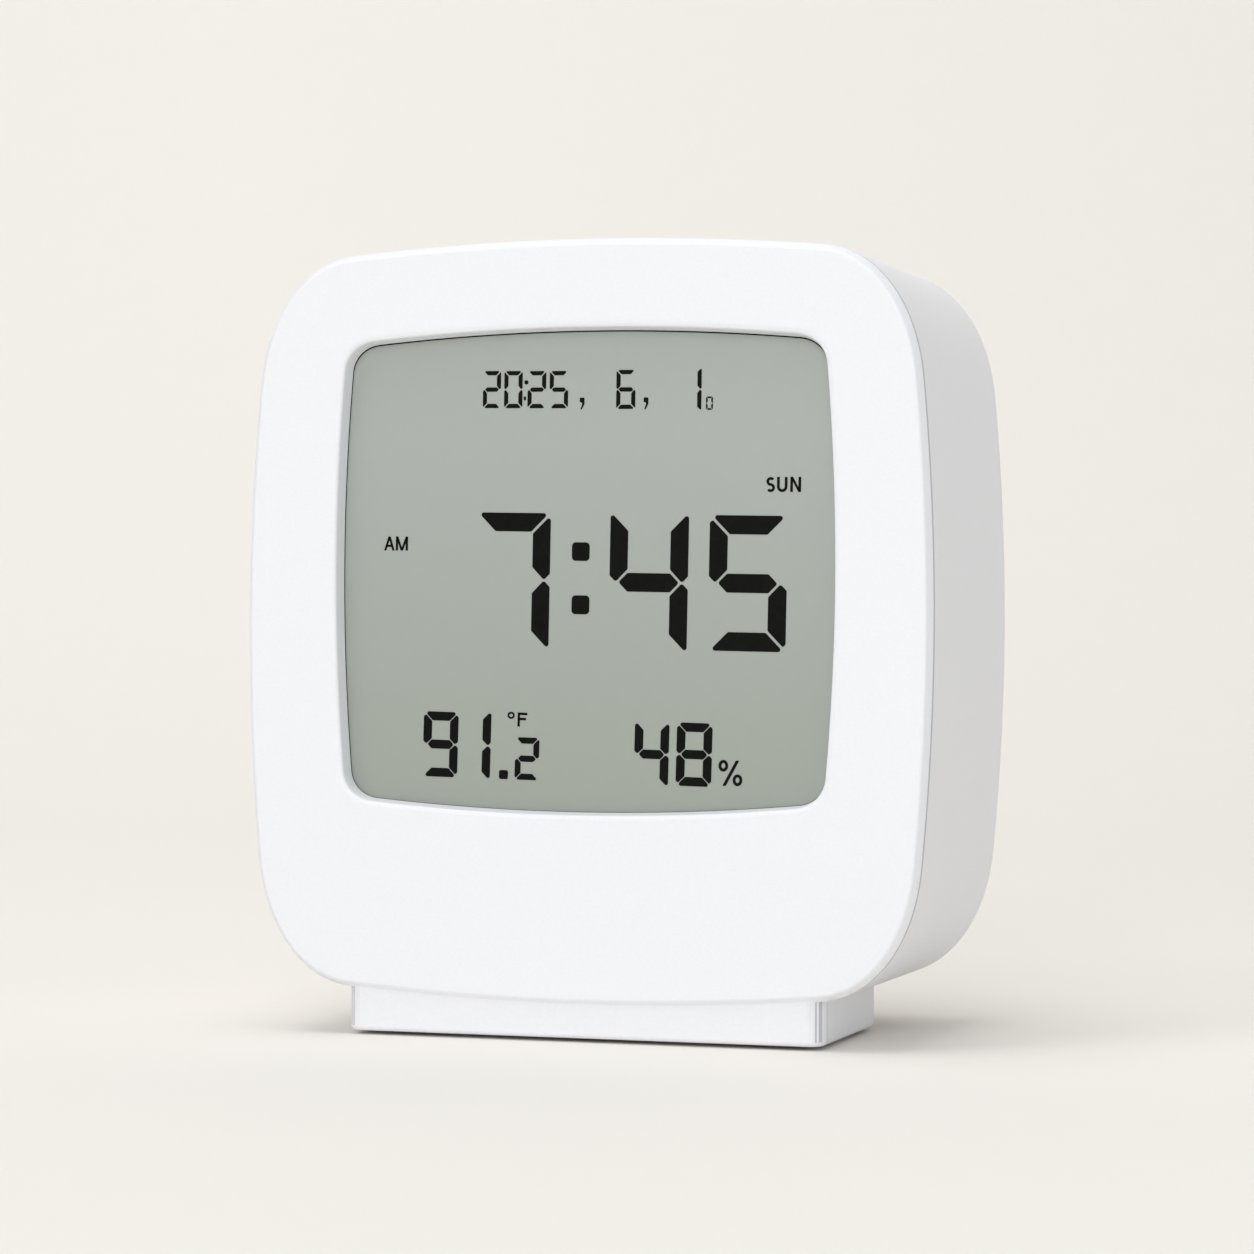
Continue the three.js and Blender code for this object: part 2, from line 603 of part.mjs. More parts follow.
// Places of repeated fasteners
const bothSides = [-1, 1];
const CASE_SCREW_PLACES = bothSides.flatMap((side) => [
  { name: side < 0 ? "upper_left" : "upper_right", x: side * UPPER_WELL_X, z: UPPER_WELL_Z },
  { name: side < 0 ? "lower_left" : "lower_right", x: side * LOWER_WELL_X, z: LOWER_WELL_Z },
]);
const MAIN_BOARD_SCREW_PLACES = bothSides.flatMap((side) => [
  { name: side < 0 ? "upper_left" : "upper_right", x: side * UPPER_POST_X, z: UPPER_POST_Z },
  { name: side < 0 ? "lower_left" : "lower_right", x: side * LOWER_POST_X, z: LOWER_POST_Z },
]);
const REAR_BOARD_SCREW_PLACES = bothSides.map((side) => ({
  name: side < 0 ? "left" : "right",
  x: side * REAR_POST_X,
  z: REAR_POST_Z,
}));
const PAD_PLACES = bothSides.flatMap((side) =>
  ["front", "rear"].map((end) => ({
    name: end + (side < 0 ? "_left" : "_right"),
    x: side * (FOOT_WIDTH / 2 - PAD_EDGE_DISTANCE),
    y: end === "front" ? FOOT_PARTING + PARTING_GAP + PAD_EDGE_DISTANCE : FOOT_END - PAD_EDGE_DISTANCE,
  })),
);
const BUTTONS = ["mode", "up", "down", "unit"].map((name, i) => ({
  name,
  x: (1.5 - i) * BUTTON_PITCH,
}));

// Front shell: bezel, display window, lip, screw bosses, board posts and the front of the foot
function frontBezel() {
  const skin = bodyFromFace(PARTING_DEPTH);
  const step = bodySlice(PARTING_STEP, FRONT_FILLET, RIM_DEPTH - SEAT_CLEARANCE);
  const lip = bodySlice(LIP_INSET, FRONT_FILLET, RIM_DEPTH + LIP_LENGTH);
  const hollow = bodySlice(LIP_INSET + LIP_THICKNESS, BEZEL_THICKNESS, RIM_DEPTH + LIP_LENGTH + OVERCUT);
  const footFront = footBlock(0).intersect(depthBand(0, FOOT_PARTING));
  const footStep = footBlock(PARTING_STEP).intersect(
    depthBand(0, FOOT_PARTING + PARTING_GAP - SEAT_CLEARANCE),
  );
  const foot = join(footFront, footStep);
  const postEnd = MAIN_BOARD_FRONT - SEAT_CLEARANCE;
  const posts = MAIN_BOARD_SCREW_PLACES.map(({ x, z }) => rod(BOARD_POST_RADIUS, PARTING_DEPTH, postEnd, x, z));
  const postBores = MAIN_BOARD_SCREW_PLACES.map(({ x, z }) =>
    rod(SCREW_BORE, BEZEL_THICKNESS, postEnd + OVERCUT, x, z, HOLE_SIDES),
  );
  const bosses = CASE_SCREW_PLACES.map(({ x, z }) => rod(CASE_BOSS_RADIUS, PARTING_DEPTH, BOSS_END, x, z));
  const bossBores = CASE_SCREW_PLACES.map(({ x, z }) =>
    rod(CASE_SCREW_RADIUS + SCREW_CLEARANCE, BEZEL_THICKNESS, BOSS_END + OVERCUT, x, z, HOLE_SIDES),
  );
  const shell = join(cut(join(skin, step, lip), hollow), foot);
  return cut(join(shell, ...glassRibs(), ...posts, ...bosses), windowCutter(), ...postBores, ...bossBores);
}

// The window's opening: a rounded rim that narrows from the face, then a straight wall.
const windowCutter = () =>
  loft([
    ring(WINDOW_OUTLINE, -WINDOW_FILLET, -OVERCUT, WINDOW_RISE),
    ...quarterRound(WINDOW_FILLET).map((step) => ring(WINDOW_OUTLINE, -step.inset, step.depth, WINDOW_RISE)),
    ring(WINDOW_OUTLINE, 0, BEZEL_THICKNESS + OVERCUT, WINDOW_RISE),
  ]);

// Four ribs on the back of the bezel that hold the display glass by its edges.
function glassRibs() {
  const [halfWidth, halfHeight] = [GLASS_WIDTH / 2, GLASS_HEIGHT / 2];
  const near = RIB_CLEARANCE;
  const far = RIB_CLEARANCE + RIB_THICKNESS;
  const [y0, y1] = [PARTING_DEPTH, BEZEL_THICKNESS + RIB_HEIGHT];
  const upright = halfHeight * RIB_SHARE;
  const level = halfWidth * RIB_SHARE;
  const z = WINDOW_RISE;
  return [
    box(halfWidth + near, y0, z - upright, halfWidth + far, y1, z + upright),
    box(-halfWidth - far, y0, z - upright, -halfWidth - near, y1, z + upright),
    box(-level, y0, z + halfHeight + near, level, y1, z + halfHeight + far),
    box(-level, y0, z - halfHeight - far, level, y1, z - halfHeight - near),
  ];
}

// Rear shell: sides, rear wall and foot, with screw wells, battery bay, posts and openings
function rearHousing() {
  const outer = join(
    bodyToRear(0, RIM_DEPTH, BODY_DEPTH, REAR_FILLET),
    footBlock(0).intersect(depthBand(FOOT_PARTING + PARTING_GAP, everywhere)),
  );
  const inner = join(
    bodyToRear(WALL, 0, REAR_INNER, REAR_FILLET - WALL),
    cut(footBlock(WALL), depthBand(-everywhere, 0)),
    box(-FOOT_WIDTH / 2 + WALL, 0, FOOT_BOTTOM + WALL, FOOT_WIDTH / 2 - WALL, FOOT_SETBACK + WALL * 2, FOOT_TOP),
  );
  const frontOfFoot = box(
    -FOOT_WIDTH / 2 - LIP_CLEARANCE,
    -OVERCUT,
    FOOT_BOTTOM - OVERCUT,
    FOOT_WIDTH / 2 + LIP_CLEARANCE,
    FOOT_PARTING + PARTING_GAP,
    FOOT_TOP + SEAT_CLEARANCE,
  );
  const shell = cut(outer, inner, frontOfFoot);
  const fitted = join(shell, ...bayWalls(), ...wells(), ...rearPosts(), ...webs(outer));
  return cut(fitted, ...bayCutters(), ...wellBores(), ...rearOpenings(), ...padRecesses(), ...rearPostBores());
}

const wells = () =>
  CASE_SCREW_PLACES.map(({ x, z }) => rod(WELL_RADIUS, WELL_END, REAR_INNER + SEAT_CLEARANCE, x, z));

const wellBores = () =>
  CASE_SCREW_PLACES.flatMap(({ x, z }) => [
    rod(WELL_BORE_RADIUS, WELL_SEAT, BODY_DEPTH + OVERCUT, x, z),
    rod(CASE_SCREW_RADIUS + SCREW_CLEARANCE, WELL_END - OVERCUT, WELL_SEAT + OVERCUT, x, z, HOLE_SIDES),
  ]);

// Webs that tie the upper wells to the side walls.
const webs = (outer) =>
  bothSides.map((side) => {
    const [near, far] = [UPPER_WELL_X + WELL_BORE_RADIUS + LIP_THICKNESS / 2, BODY_WIDTH / 2];
    const [x0, x1] = side < 0 ? [-far, -near] : [near, far];
    const z = UPPER_WELL_Z;
    return box(x0, WEB_START, z - WEB_THICKNESS / 2, x1, REAR_INNER, z + WEB_THICKNESS / 2).intersect(outer);
  });

const rearPosts = () =>
  REAR_BOARD_SCREW_PLACES.map(({ x, z }) =>
    rod(BOARD_POST_RADIUS, REAR_BOARD_BACK + SEAT_CLEARANCE, REAR_INNER + SEAT_CLEARANCE, x, z),
  );

const rearPostBores = () =>
  REAR_BOARD_SCREW_PLACES.map(({ x, z }) =>
    rod(SCREW_BORE, REAR_BOARD_BACK - OVERCUT, REAR_INNER - LIP_THICKNESS, x, z, HOLE_SIDES),
  );

const padRecesses = () =>
  PAD_PLACES.map(({ x, y }) => {
    const radius = PAD_DIAMETER / 2 + LIP_CLEARANCE;
    const recess = new THREE.CylinderGeometry(radius, radius, PAD_THICKNESS, ROUND_SIDES);
    const seat = FOOT_BOTTOM + PAD_THICKNESS - PAD_PROUD + SEAT_CLEARANCE;
    return solid(recess.rotateX(Math.PI / 2).translate(x, y, seat - PAD_THICKNESS / 2));
  });

// Openings in the rear wall: button holes, sound holes and vents in front of the climate sensor.
function rearOpenings() {
  const [y0, y1] = [REAR_INNER - OVERCUT, BODY_DEPTH + OVERCUT];
  const grow = 2 * BUTTON_CLEARANCE;
  const buttonHoles = BUTTONS.map(({ x }) =>
    slab(
      roundedRectangle(BUTTON_WIDTH + grow, BUTTON_HEIGHT + grow, BUTTON_CORNER + BUTTON_CLEARANCE, x, BUTTON_ROW_Z),
      y0,
      y1,
    ),
  );
  const turns = Array.from({ length: SOUND_HOLES_IN_RING }, (_, i) => (i * 2 * Math.PI) / SOUND_HOLES_IN_RING);
  const soundHoles = [
    [0, 0],
    ...turns.map((angle) => [SOUND_HOLE_PITCH * Math.cos(angle), SOUND_HOLE_PITCH * Math.sin(angle)]),
  ].map(([dx, dz]) => rod(SOUND_HOLE_RADIUS, y0, y1, SOUNDER_X + dx, SOUNDER_Z + dz, HOLE_SIDES));
  const vents = Array.from({ length: VENT_SLOTS }, (_, i) => {
    const z = SENSOR_Z + (i - (VENT_SLOTS - 1) / 2) * VENT_PITCH;
    return slab(roundedRectangle(VENT_WIDTH, VENT_HEIGHT, VENT_HEIGHT / 2 - SEAT_CLEARANCE, SENSOR_X, z), y0, y1);
  });
  return [...buttonHoles, ...soundHoles, ...vents];
}

// Battery bay: a tray in the rear wall, with a thicker frame round the door's ledge.
function bayWalls() {
  const halfLength = BAY_LENGTH / 2 + BAY_WALL;
  const halfHeight = BAY_HEIGHT / 2 + BAY_WALL;
  const frameX = DOOR_WIDTH / 2 + DOOR_GAP + DOOR_FRAME;
  const frameZ = DOOR_HEIGHT / 2 + DOOR_GAP + DOOR_FRAME;
  const z = BAY_CENTRE_Z;
  return [
    box(-halfLength, BAY_FLOOR - BAY_WALL, z - halfHeight, halfLength, REAR_INNER, z + halfHeight),
    box(-frameX, DOOR_LEDGE - DOOR_FRAME_DEPTH, z - frameZ, frameX, REAR_INNER + SEAT_CLEARANCE, z + frameZ),
  ];
}

function bayCutters() {
  const [halfLength, halfHeight, z] = [BAY_LENGTH / 2, BAY_HEIGHT / 2, BAY_CENTRE_Z];
  const tray = box(-halfLength, BAY_FLOOR, z - halfHeight, halfLength, BODY_DEPTH, z + halfHeight);
  const doorRecess = slab(
    roundedRectangle(
      DOOR_WIDTH + 2 * DOOR_GAP,
      DOOR_HEIGHT + 2 * DOOR_GAP,
      DOOR_RECESS_CORNER,
      0,
      z,
    ),
    DOOR_LEDGE,
    BODY_DEPTH + OVERCUT,
  );
  const tabSlots = CONTACTS.filter(({ tab }) => tab).map(({ side, z: place }) => {
    const half = CONTACT_TAB_WIDTH / 2 + CONTACT_GAP;
    const wall = side * halfLength;
    const inner = side * (halfLength - 2 * CONTACT_GAP - CONTACT_THICKNESS);
    const [x0, x1] = [Math.min(wall, inner), Math.max(wall, inner)];
    return box(x0, BAY_FLOOR - BAY_WALL - OVERCUT, place - half, x1, BAY_FLOOR + OVERCUT, place + half);
  });
  const saddle = new THREE.Shape([
    new THREE.Vector2(BAY_FLOOR - BAY_WALL / 2, z - SADDLE_HALF_WIDTH),
    new THREE.Vector2(BAY_FLOOR + SADDLE_HEIGHT, z),
    new THREE.Vector2(BAY_FLOOR - BAY_WALL / 2, z + SADDLE_HALF_WIDTH),
  ]);
  const saddled = cut(tray, slabAcross(saddle, -CELL_LENGTH / 4, CELL_LENGTH / 4));
  const scoopShape = new THREE.SphereGeometry(1, ROUND_SIDES, ROUND_SIDES / 2);
  const scoop = scoopShape
    .scale(SCOOP_WIDTH / 2, SCOOP_DEPTH, SCOOP_HEIGHT)
    .translate(0, BODY_DEPTH, DOOR_TOP + DOOR_GAP);
  return [saddled, doorRecess, ...tabSlots, ...lugPockets(), solid(scoop)];
}

// Pockets under the door's lower edge, in which its lugs turn.
const lugPockets = () =>
  bothSides.map((side) => {
    const half = LUG_WIDTH / 2 + LUG_CLEARANCE;
    const lipInside = DOOR_INNER - LUG_CLEARANCE + DOOR_LEDGE_GAP;
    return box(
      side * LUG_X - half,
      HINGE_Y - LUG_SWEEP - 2 * LUG_CLEARANCE - LUG_THICKNESS,
      DOOR_BOTTOM - LUG_REACH - LUG_CLEARANCE,
      side * LUG_X + half,
      lipInside,
      BAY_CENTRE_Z,
    );
  });

// Battery door: a plate with a latch tongue, grip grooves, two lugs and two ribs that face the cells
function batteryDoor() {
  const plate = slab(
    roundedRectangle(DOOR_WIDTH, DOOR_HEIGHT, DOOR_CORNER_RADIUS, 0, BAY_CENTRE_Z),
    DOOR_INNER,
    BODY_DEPTH,
  );
  const latchSlots = bothSides.map((side) => {
    const x = (side * LATCH_WIDTH) / 2;
    const z0 = DOOR_TOP - LATCH_SLOT_LENGTH;
    return box(x - LATCH_SLOT / 2, DOOR_INNER - OVERCUT, z0, x + LATCH_SLOT / 2, BODY_DEPTH + OVERCUT, DOOR_TOP + OVERCUT);
  });
  const grips = Array.from({ length: GRIP_COUNT }, (_, i) => {
    const z = DOOR_TOP - (i + 1) * GRIP_PITCH;
    const half = GRIP_PITCH / 4;
    return box(-GRIP_WIDTH / 2, BODY_DEPTH - GRIP_DEPTH, z - half, GRIP_WIDTH / 2, BODY_DEPTH + OVERCUT, z + half);
  });
  const lugs = bothSides.flatMap((side) => {
    const [x0, x1] = [side * LUG_X - LUG_WIDTH / 2, side * LUG_X + LUG_WIDTH / 2];
    const heel = DOOR_INNER - LUG_CLEARANCE;
    return [
      box(x0, heel - LUG_THICKNESS, DOOR_BOTTOM, x1, DOOR_INNER + SEAT_CLEARANCE, DOOR_BOTTOM + LUG_NECK),
      box(x0, heel - LUG_THICKNESS, DOOR_BOTTOM - LUG_REACH, x1, heel, DOOR_BOTTOM + LUG_NECK),
    ];
  });
  const ribs = bothSides.map((side) => {
    const half = DOOR_RIB_THICKNESS / 2;
    const reach = CELL_PITCH * RIB_SHARE;
    return box(
      side * DOOR_RIB_X - half,
      DOOR_INNER - DOOR_RIB_HEIGHT,
      BAY_CENTRE_Z - reach,
      side * DOOR_RIB_X + half,
      DOOR_INNER + SEAT_CLEARANCE,
      BAY_CENTRE_Z + reach,
    );
  });
  return cut(join(plate, ...lugs, ...ribs), ...latchSlots, ...grips);
}

// Battery contacts: each is a plate against an end wall of the bay, two of them with a solder tab
const CONTACTS = [
  { name: "positive_contact", side: -1, z: UPPER_CELL_Z, tab: true },
  { name: "negative_contact", side: -1, z: LOWER_CELL_Z, tab: true },
  { name: "bridge_contact", side: 1, z: BAY_CENTRE_Z, tab: false },
];

function contactPlate({ side, z, tab }) {
  const outer = BAY_LENGTH / 2 - CONTACT_GAP;
  const inner = outer - CONTACT_THICKNESS;
  const [x0, x1] = side < 0 ? [-outer, -inner] : [inner, outer];
  const half = tab ? CONTACT_WIDTH / 2 : (CELL_PITCH + CONTACT_WIDTH) / 2;
  const y0 = CELL_Y - CONTACT_HEIGHT / 2;
  const plate = roundedRectangle(CONTACT_HEIGHT, 2 * half, CONTACT_CORNER, CELL_Y, z);
  const body = slabAcross(plate, x0, x1);
  if (!tab) return body;
  const tabEnd = BAY_FLOOR - BAY_WALL - CONTACT_TAB_LENGTH;
  return join(body, box(x0, tabEnd, z - CONTACT_TAB_WIDTH / 2, x1, y0 + CONTACT_CORNER, z + CONTACT_TAB_WIDTH / 2));
}

// A cell lying along x, with its nub at positive x.
function cellProfile() {
  const radius = CELL_DIAMETER / 2;
  const [end, shoulder] = [CELL_LENGTH / 2, CELL_LENGTH / 2 - CELL_NUB_LENGTH];
  return [
    [0, -end],
    [radius - CELL_EDGE, -end],
    [radius, -end + CELL_EDGE],
    [radius, shoulder - CELL_EDGE],
    [radius - CELL_EDGE, shoulder],
    [CELL_NUB_RADIUS, shoulder],
    [CELL_NUB_RADIUS, end],
    [0, end],
  ];
}

const cellGeometry = () =>
  geometryOf(turned(cellProfile(), 0, 0, CELL_SIDES)).rotateZ(-Math.PI / 2);

// A conical coil spring along x, wound from the contact plate at x = 0 to the cell. Its two ends
// run straight along x for one wire diameter.
function springPath() {
  const points = [new THREE.Vector3(0, 0, SPRING_ROOT_RADIUS)];
  const steps = SPRING_CURLS * CURL_STEPS;
  const winding = SPRING_LENGTH - 2 * SPRING_STRAIGHT;
  for (let i = 0; i <= steps; i++) {
    const share = i / steps;
    const angle = 2 * Math.PI * SPRING_CURLS * share;
    const radius = SPRING_ROOT_RADIUS + (SPRING_TIP_RADIUS - SPRING_ROOT_RADIUS) * share;
    points.push(
      new THREE.Vector3(SPRING_STRAIGHT + winding * share, radius * Math.sin(angle), radius * Math.cos(angle)),
    );
  }
  points.push(new THREE.Vector3(SPRING_LENGTH, 0, SPRING_TIP_RADIUS));
  return points;
}

// A tube through the points: each ring of corners is carried on from the one before without twist.
function tubeThrough(points, radius, sides) {
  const along = points.map((_, i) =>
    points[Math.min(i + 1, points.length - 1)].clone().sub(points[Math.max(i - 1, 0)]).normalize(),
  );
  let across = new THREE.Vector3(0, 0, 1).cross(along[0]);
  if (across.length() < MERGE_DISTANCE) across = new THREE.Vector3(0, 1, 0);
  const rings = points.map((point, i) => {
    across.addScaledVector(along[i], -across.dot(along[i])).normalize();
    const third = new THREE.Vector3().crossVectors(along[i], across);
    return Array.from({ length: sides }, (_, j) => {
      const angle = (-2 * Math.PI * j) / sides;
      const corner = point
        .clone()
        .addScaledVector(across, radius * Math.cos(angle))
        .addScaledVector(third, radius * Math.sin(angle));
      return corner.toArray();
    });
  });
  return loft(rings);
}

// The least clear distance between stretches of a coil that are at least half a turn apart.
function leastGap(points, radius) {
  let least = Infinity;
  points.forEach((a, i) =>
    points.slice(i + CURL_STEPS / 2).forEach((b) => {
      least = Math.min(least, a.distanceTo(b) - 2 * radius);
    }),
  );
  return least;
}

// Buttons: a cap with a retaining flange and a stem that meets its switch
function button() {
  const cap = slab(
    roundedRectangle(BUTTON_WIDTH, BUTTON_HEIGHT, BUTTON_CORNER),
    REAR_INNER - STOP_GAP - BUTTON_FLANGE_THICKNESS,
    BODY_DEPTH + BUTTON_PROUD,
  );
  const flange = slab(
    roundedRectangle(BUTTON_WIDTH + 2 * BUTTON_FLANGE, BUTTON_HEIGHT + 2 * BUTTON_FLANGE, BUTTON_CORNER),
    REAR_INNER - STOP_GAP - BUTTON_FLANGE_THICKNESS,
    REAR_INNER - STOP_GAP,
  );
  const stem = rod(BUTTON_STEM_RADIUS, PLUNGER_TOP + SEAT_CLEARANCE, REAR_INNER - STOP_GAP, 0, 0);
  return join(cap, flange, stem);
}

function switchBase() {
  const half = SWITCH_SIZE / 2;
  const housing = box(-half, REAR_BOARD_BACK + SOLDER_GAP, -half, half, SWITCH_TOP, half);
  const boreEnd = SWITCH_TOP - PLUNGER_DEPTH - BUTTON_TRAVEL - PLUNGER_CLEARANCE;
  return cut(housing, rod(PLUNGER_RADIUS + PLUNGER_CLEARANCE, boreEnd, SWITCH_TOP + OVERCUT, 0, 0));
}

const switchPlunger = () => rod(PLUNGER_RADIUS, SWITCH_TOP - PLUNGER_DEPTH, PLUNGER_TOP, 0, 0);

// Display cell: film, glass, glass, reflector, and the rubber strips that join it to the main board
const filmSlab = (y0, shorter) =>
  slab(
    roundedRectangle(
      GLASS_WIDTH - 2 * POLARISER_MARGIN,
      GLASS_HEIGHT - 2 * (POLARISER_MARGIN + shorter),
      POLARISER_MARGIN,
      0,
      WINDOW_RISE,
    ),
    y0,
    y0 + POLARISER_THICKNESS,
  );

function glassSlab(y0, shorter) {
  const [halfWidth, halfHeight] = [GLASS_WIDTH / 2, GLASS_HEIGHT / 2 - shorter];
  const z = WINDOW_RISE;
  return box(-halfWidth, y0, z - halfHeight, halfWidth, y0 + GLASS_THICKNESS, z + halfHeight);
}

function zebraStrip(end) {
  const z = WINDOW_RISE + end * (GLASS_HEIGHT / 2 - GLASS_LEDGE / 2);
  const [halfLength, half] = [GLASS_WIDTH / 2 - GLASS_LEDGE / 2, ZEBRA_THICKNESS / 2];
  return box(-halfLength, ZEBRA_FRONT, z - half, halfLength, ZEBRA_FRONT + ZEBRA_HEIGHT, z + half);
}

// A board outline with chamfered corners.
function boardShape(width, bottom, top, lowChamfer, highChamfer) {
  const half = width / 2;
  const corners = [
    [half - lowChamfer, bottom],
    [half, bottom + lowChamfer],
    [half, top - highChamfer],
    [half - highChamfer, top],
    [-half + highChamfer, top],
    [-half, top - highChamfer],
    [-half, bottom + lowChamfer],
    [-half + lowChamfer, bottom],
  ];
  return new THREE.Shape(corners.map(([x, z]) => new THREE.Vector2(x, z)));
}

function mainBoard() {
  const shape = boardShape(
    MAIN_BOARD_WIDTH,
    MAIN_BOARD_BOTTOM,
    MAIN_BOARD_TOP,
    MAIN_BOARD_CHAMFER,
    MAIN_BOARD_TOP_CHAMFER,
  );
  const holes = MAIN_BOARD_SCREW_PLACES.map(({ x, z }) =>
    rod(SCREW_BORE, MAIN_BOARD_FRONT - OVERCUT, MAIN_BOARD_BACK + OVERCUT, x, z, HOLE_SIDES),
  );
  return cut(slab(shape, MAIN_BOARD_FRONT, MAIN_BOARD_BACK), ...holes);
}

function rearBoard() {
  const shape = boardShape(
    REAR_BOARD_WIDTH,
    REAR_BOARD_BOTTOM,
    REAR_BOARD_TOP,
    MAIN_BOARD_CHAMFER,
    MAIN_BOARD_CHAMFER,
  );
  const holes = REAR_BOARD_SCREW_PLACES.map(({ x, z }) =>
    rod(SCREW_BORE, REAR_BOARD_FRONT - OVERCUT, REAR_BOARD_BACK + OVERCUT, x, z, HOLE_SIDES),
  );
  return cut(slab(shape, REAR_BOARD_FRONT, REAR_BOARD_BACK), ...holes);
}

// A ribbon connector: a block with a slot for the ribbon's end.
function ribbonSocket(y0, y1, mouth, z) {
  const block = box(-SOCKET_WIDTH / 2, y0, z - SOCKET_HEIGHT / 2, SOCKET_WIDTH / 2, y1, z + SOCKET_HEIGHT / 2);
  const half = RIBBON_WIDTH / 2 + RIBBON_CLEARANCE;
  const slot = RIBBON_THICKNESS / 2 + RIBBON_CLEARANCE;
  const depth = SOCKET_SLOT_DEPTH;
  const [slotStart, slotEnd] = mouth > 0 ? [y1 - depth, y1 + OVERCUT] : [y0 - OVERCUT, y0 + depth];
  return cut(block, box(-half, slotStart, z - slot, half, slotEnd, z + slot));
}

// The ribbon hangs in a slack bend between its two sockets.
function ribbon() {
  const seat = SOLDER_GAP + SOCKET_DEPTH - SOCKET_SLOT_DEPTH + RIBBON_CLEARANCE;
  const [y0, y1] = [MAIN_BOARD_BACK + seat, REAR_BOARD_FRONT - seat];
  const reach = (y1 - y0) / 3;
  const middle = new THREE.Vector2((y0 + y1) / 2, (MAIN_SOCKET_Z + REAR_SOCKET_Z) / 2 - RIBBON_SAG);
  const route = new THREE.SplineCurve([
    new THREE.Vector2(y0, MAIN_SOCKET_Z),
    new THREE.Vector2(y0 + reach / 2, MAIN_SOCKET_Z),
    middle,
    new THREE.Vector2(y1 - reach / 2, REAR_SOCKET_Z),
    new THREE.Vector2(y1, REAR_SOCKET_Z),
  ]);
  const half = RIBBON_THICKNESS / 2;
  const edge = (side) =>
    Array.from({ length: WIRE_STEPS + 1 }, (_, i) => {
      const t = i / WIRE_STEPS;
      const [place, along] = [route.getPoint(t), route.getTangent(t)];
      return new THREE.Vector2(place.x - side * half * along.y, place.y + side * half * along.x);
    });
  const shape = new THREE.Shape([...edge(-1), ...edge(1).reverse()]);
  return slabAcross(shape, -RIBBON_WIDTH / 2, RIBBON_WIDTH / 2);
}

// A round wire: a ring of corners extruded along a smooth curve through the points.
function wire(points) {
  const route = new THREE.CatmullRomCurve3(points.map((p) => new THREE.Vector3(...p)));
  const corners = Array.from({ length: WIRE_SIDES }, (_, i) => {
    const angle = (2 * Math.PI * i) / WIRE_SIDES;
    return new THREE.Vector2(WIRE_RADIUS * Math.cos(angle), WIRE_RADIUS * Math.sin(angle));
  });
  const section = new THREE.Shape(corners);
  return solid(new THREE.ExtrudeGeometry(section, { extrudePath: route, steps: WIRE_STEPS }));
}

// Each lead runs from the end of its contact's tab, round the side of the bay, to the main board.
function batteryLead(z, boardX, boardZ) {
  const tabX = -(BAY_LENGTH / 2 - CONTACT_GAP - CONTACT_THICKNESS / 2);
  const tabEnd = BAY_FLOOR - BAY_WALL - CONTACT_TAB_LENGTH - WIRE_SEAT;
  const boardFace = MAIN_BOARD_BACK + WIRE_SEAT;
  const half = (tabEnd + boardFace) / 2;
  return wire([
    [tabX, tabEnd, z],
    [tabX, tabEnd - LEAD_STRAIGHT, z],
    [(tabX + boardX) / 2, half, (z + boardZ) / 2 - LEAD_SAG],
    [boardX, boardFace + LEAD_STRAIGHT, boardZ],
    [boardX, boardFace, boardZ],
  ]);
}

// Sounder: a round can with a hole in its rear face.
function sounder() {
  const y0 = REAR_BOARD_BACK + SOLDER_GAP;
  const end = y0 + SOUNDER_HEIGHT;
  const profile = [
    [0, y0],
    [SOUNDER_RADIUS, y0],
    [SOUNDER_RADIUS, end - SOUNDER_CHAMFER],
    [SOUNDER_RADIUS - SOUNDER_CHAMFER, end],
    [0, end],
  ];
  const can = turned(profile, SOUNDER_X, SOUNDER_Z, CELL_SIDES);
  const depth = end - SOUNDER_HOLE_DEPTH;
  return cut(can, rod(SOUND_HOLE_RADIUS, depth, end + OVERCUT, SOUNDER_X, SOUNDER_Z, HOLE_SIDES));
}

// Climate sensor: a small louvred case.
function climateSensor() {
  const y0 = REAR_BOARD_BACK + SOLDER_GAP;
  const [halfWidth, halfHeight] = [SENSOR_WIDTH / 2, SENSOR_HEIGHT / 2];
  const end = y0 + SENSOR_DEPTH;
  const body = box(SENSOR_X - halfWidth, y0, SENSOR_Z - halfHeight, SENSOR_X + halfWidth, end, SENSOR_Z + halfHeight);
  const louvres = Array.from({ length: SENSOR_SLOTS }, (_, i) => {
    const z = SENSOR_Z + (i - (SENSOR_SLOTS - 1) / 2) * 2 * SENSOR_SLOT;
    const reach = halfWidth - SENSOR_SLOT;
    return box(
      SENSOR_X - reach,
      end - SENSOR_SLOT,
      z - SENSOR_SLOT / 2,
      SENSOR_X + reach,
      end + OVERCUT,
      z + SENSOR_SLOT / 2,
    );
  });
  return cut(body, ...louvres);
}

// Black drop of epoxy over the controller chip: a shallow spherical cap.
function chipCap() {
  const radius = (CHIP_CAP_RADIUS ** 2 + CHIP_CAP_HEIGHT ** 2) / (2 * CHIP_CAP_HEIGHT);
  const base = MAIN_BOARD_BACK + SOLDER_GAP;
  const widest = Math.asin(CHIP_CAP_RADIUS / radius);
  const arc = Array.from({ length: FILLET_STEPS + 2 }, (_, i) => {
    const angle = widest * (1 - i / (FILLET_STEPS + 1));
    return [radius * Math.sin(angle), base + CHIP_CAP_HEIGHT - radius * (1 - Math.cos(angle))];
  });
  return turned([[0, base], ...arc], 0, CHIP_CAP_Z, CELL_SIDES);
}

function crystal() {
  const can = new THREE.CylinderGeometry(CRYSTAL_RADIUS, CRYSTAL_RADIUS, CRYSTAL_LENGTH, ROUND_SIDES);
  const y = MAIN_BOARD_BACK + SOLDER_GAP + CRYSTAL_RADIUS;
  return solid(can.rotateX(Math.PI / 2).translate(CRYSTAL_X, y, CRYSTAL_Z));
}

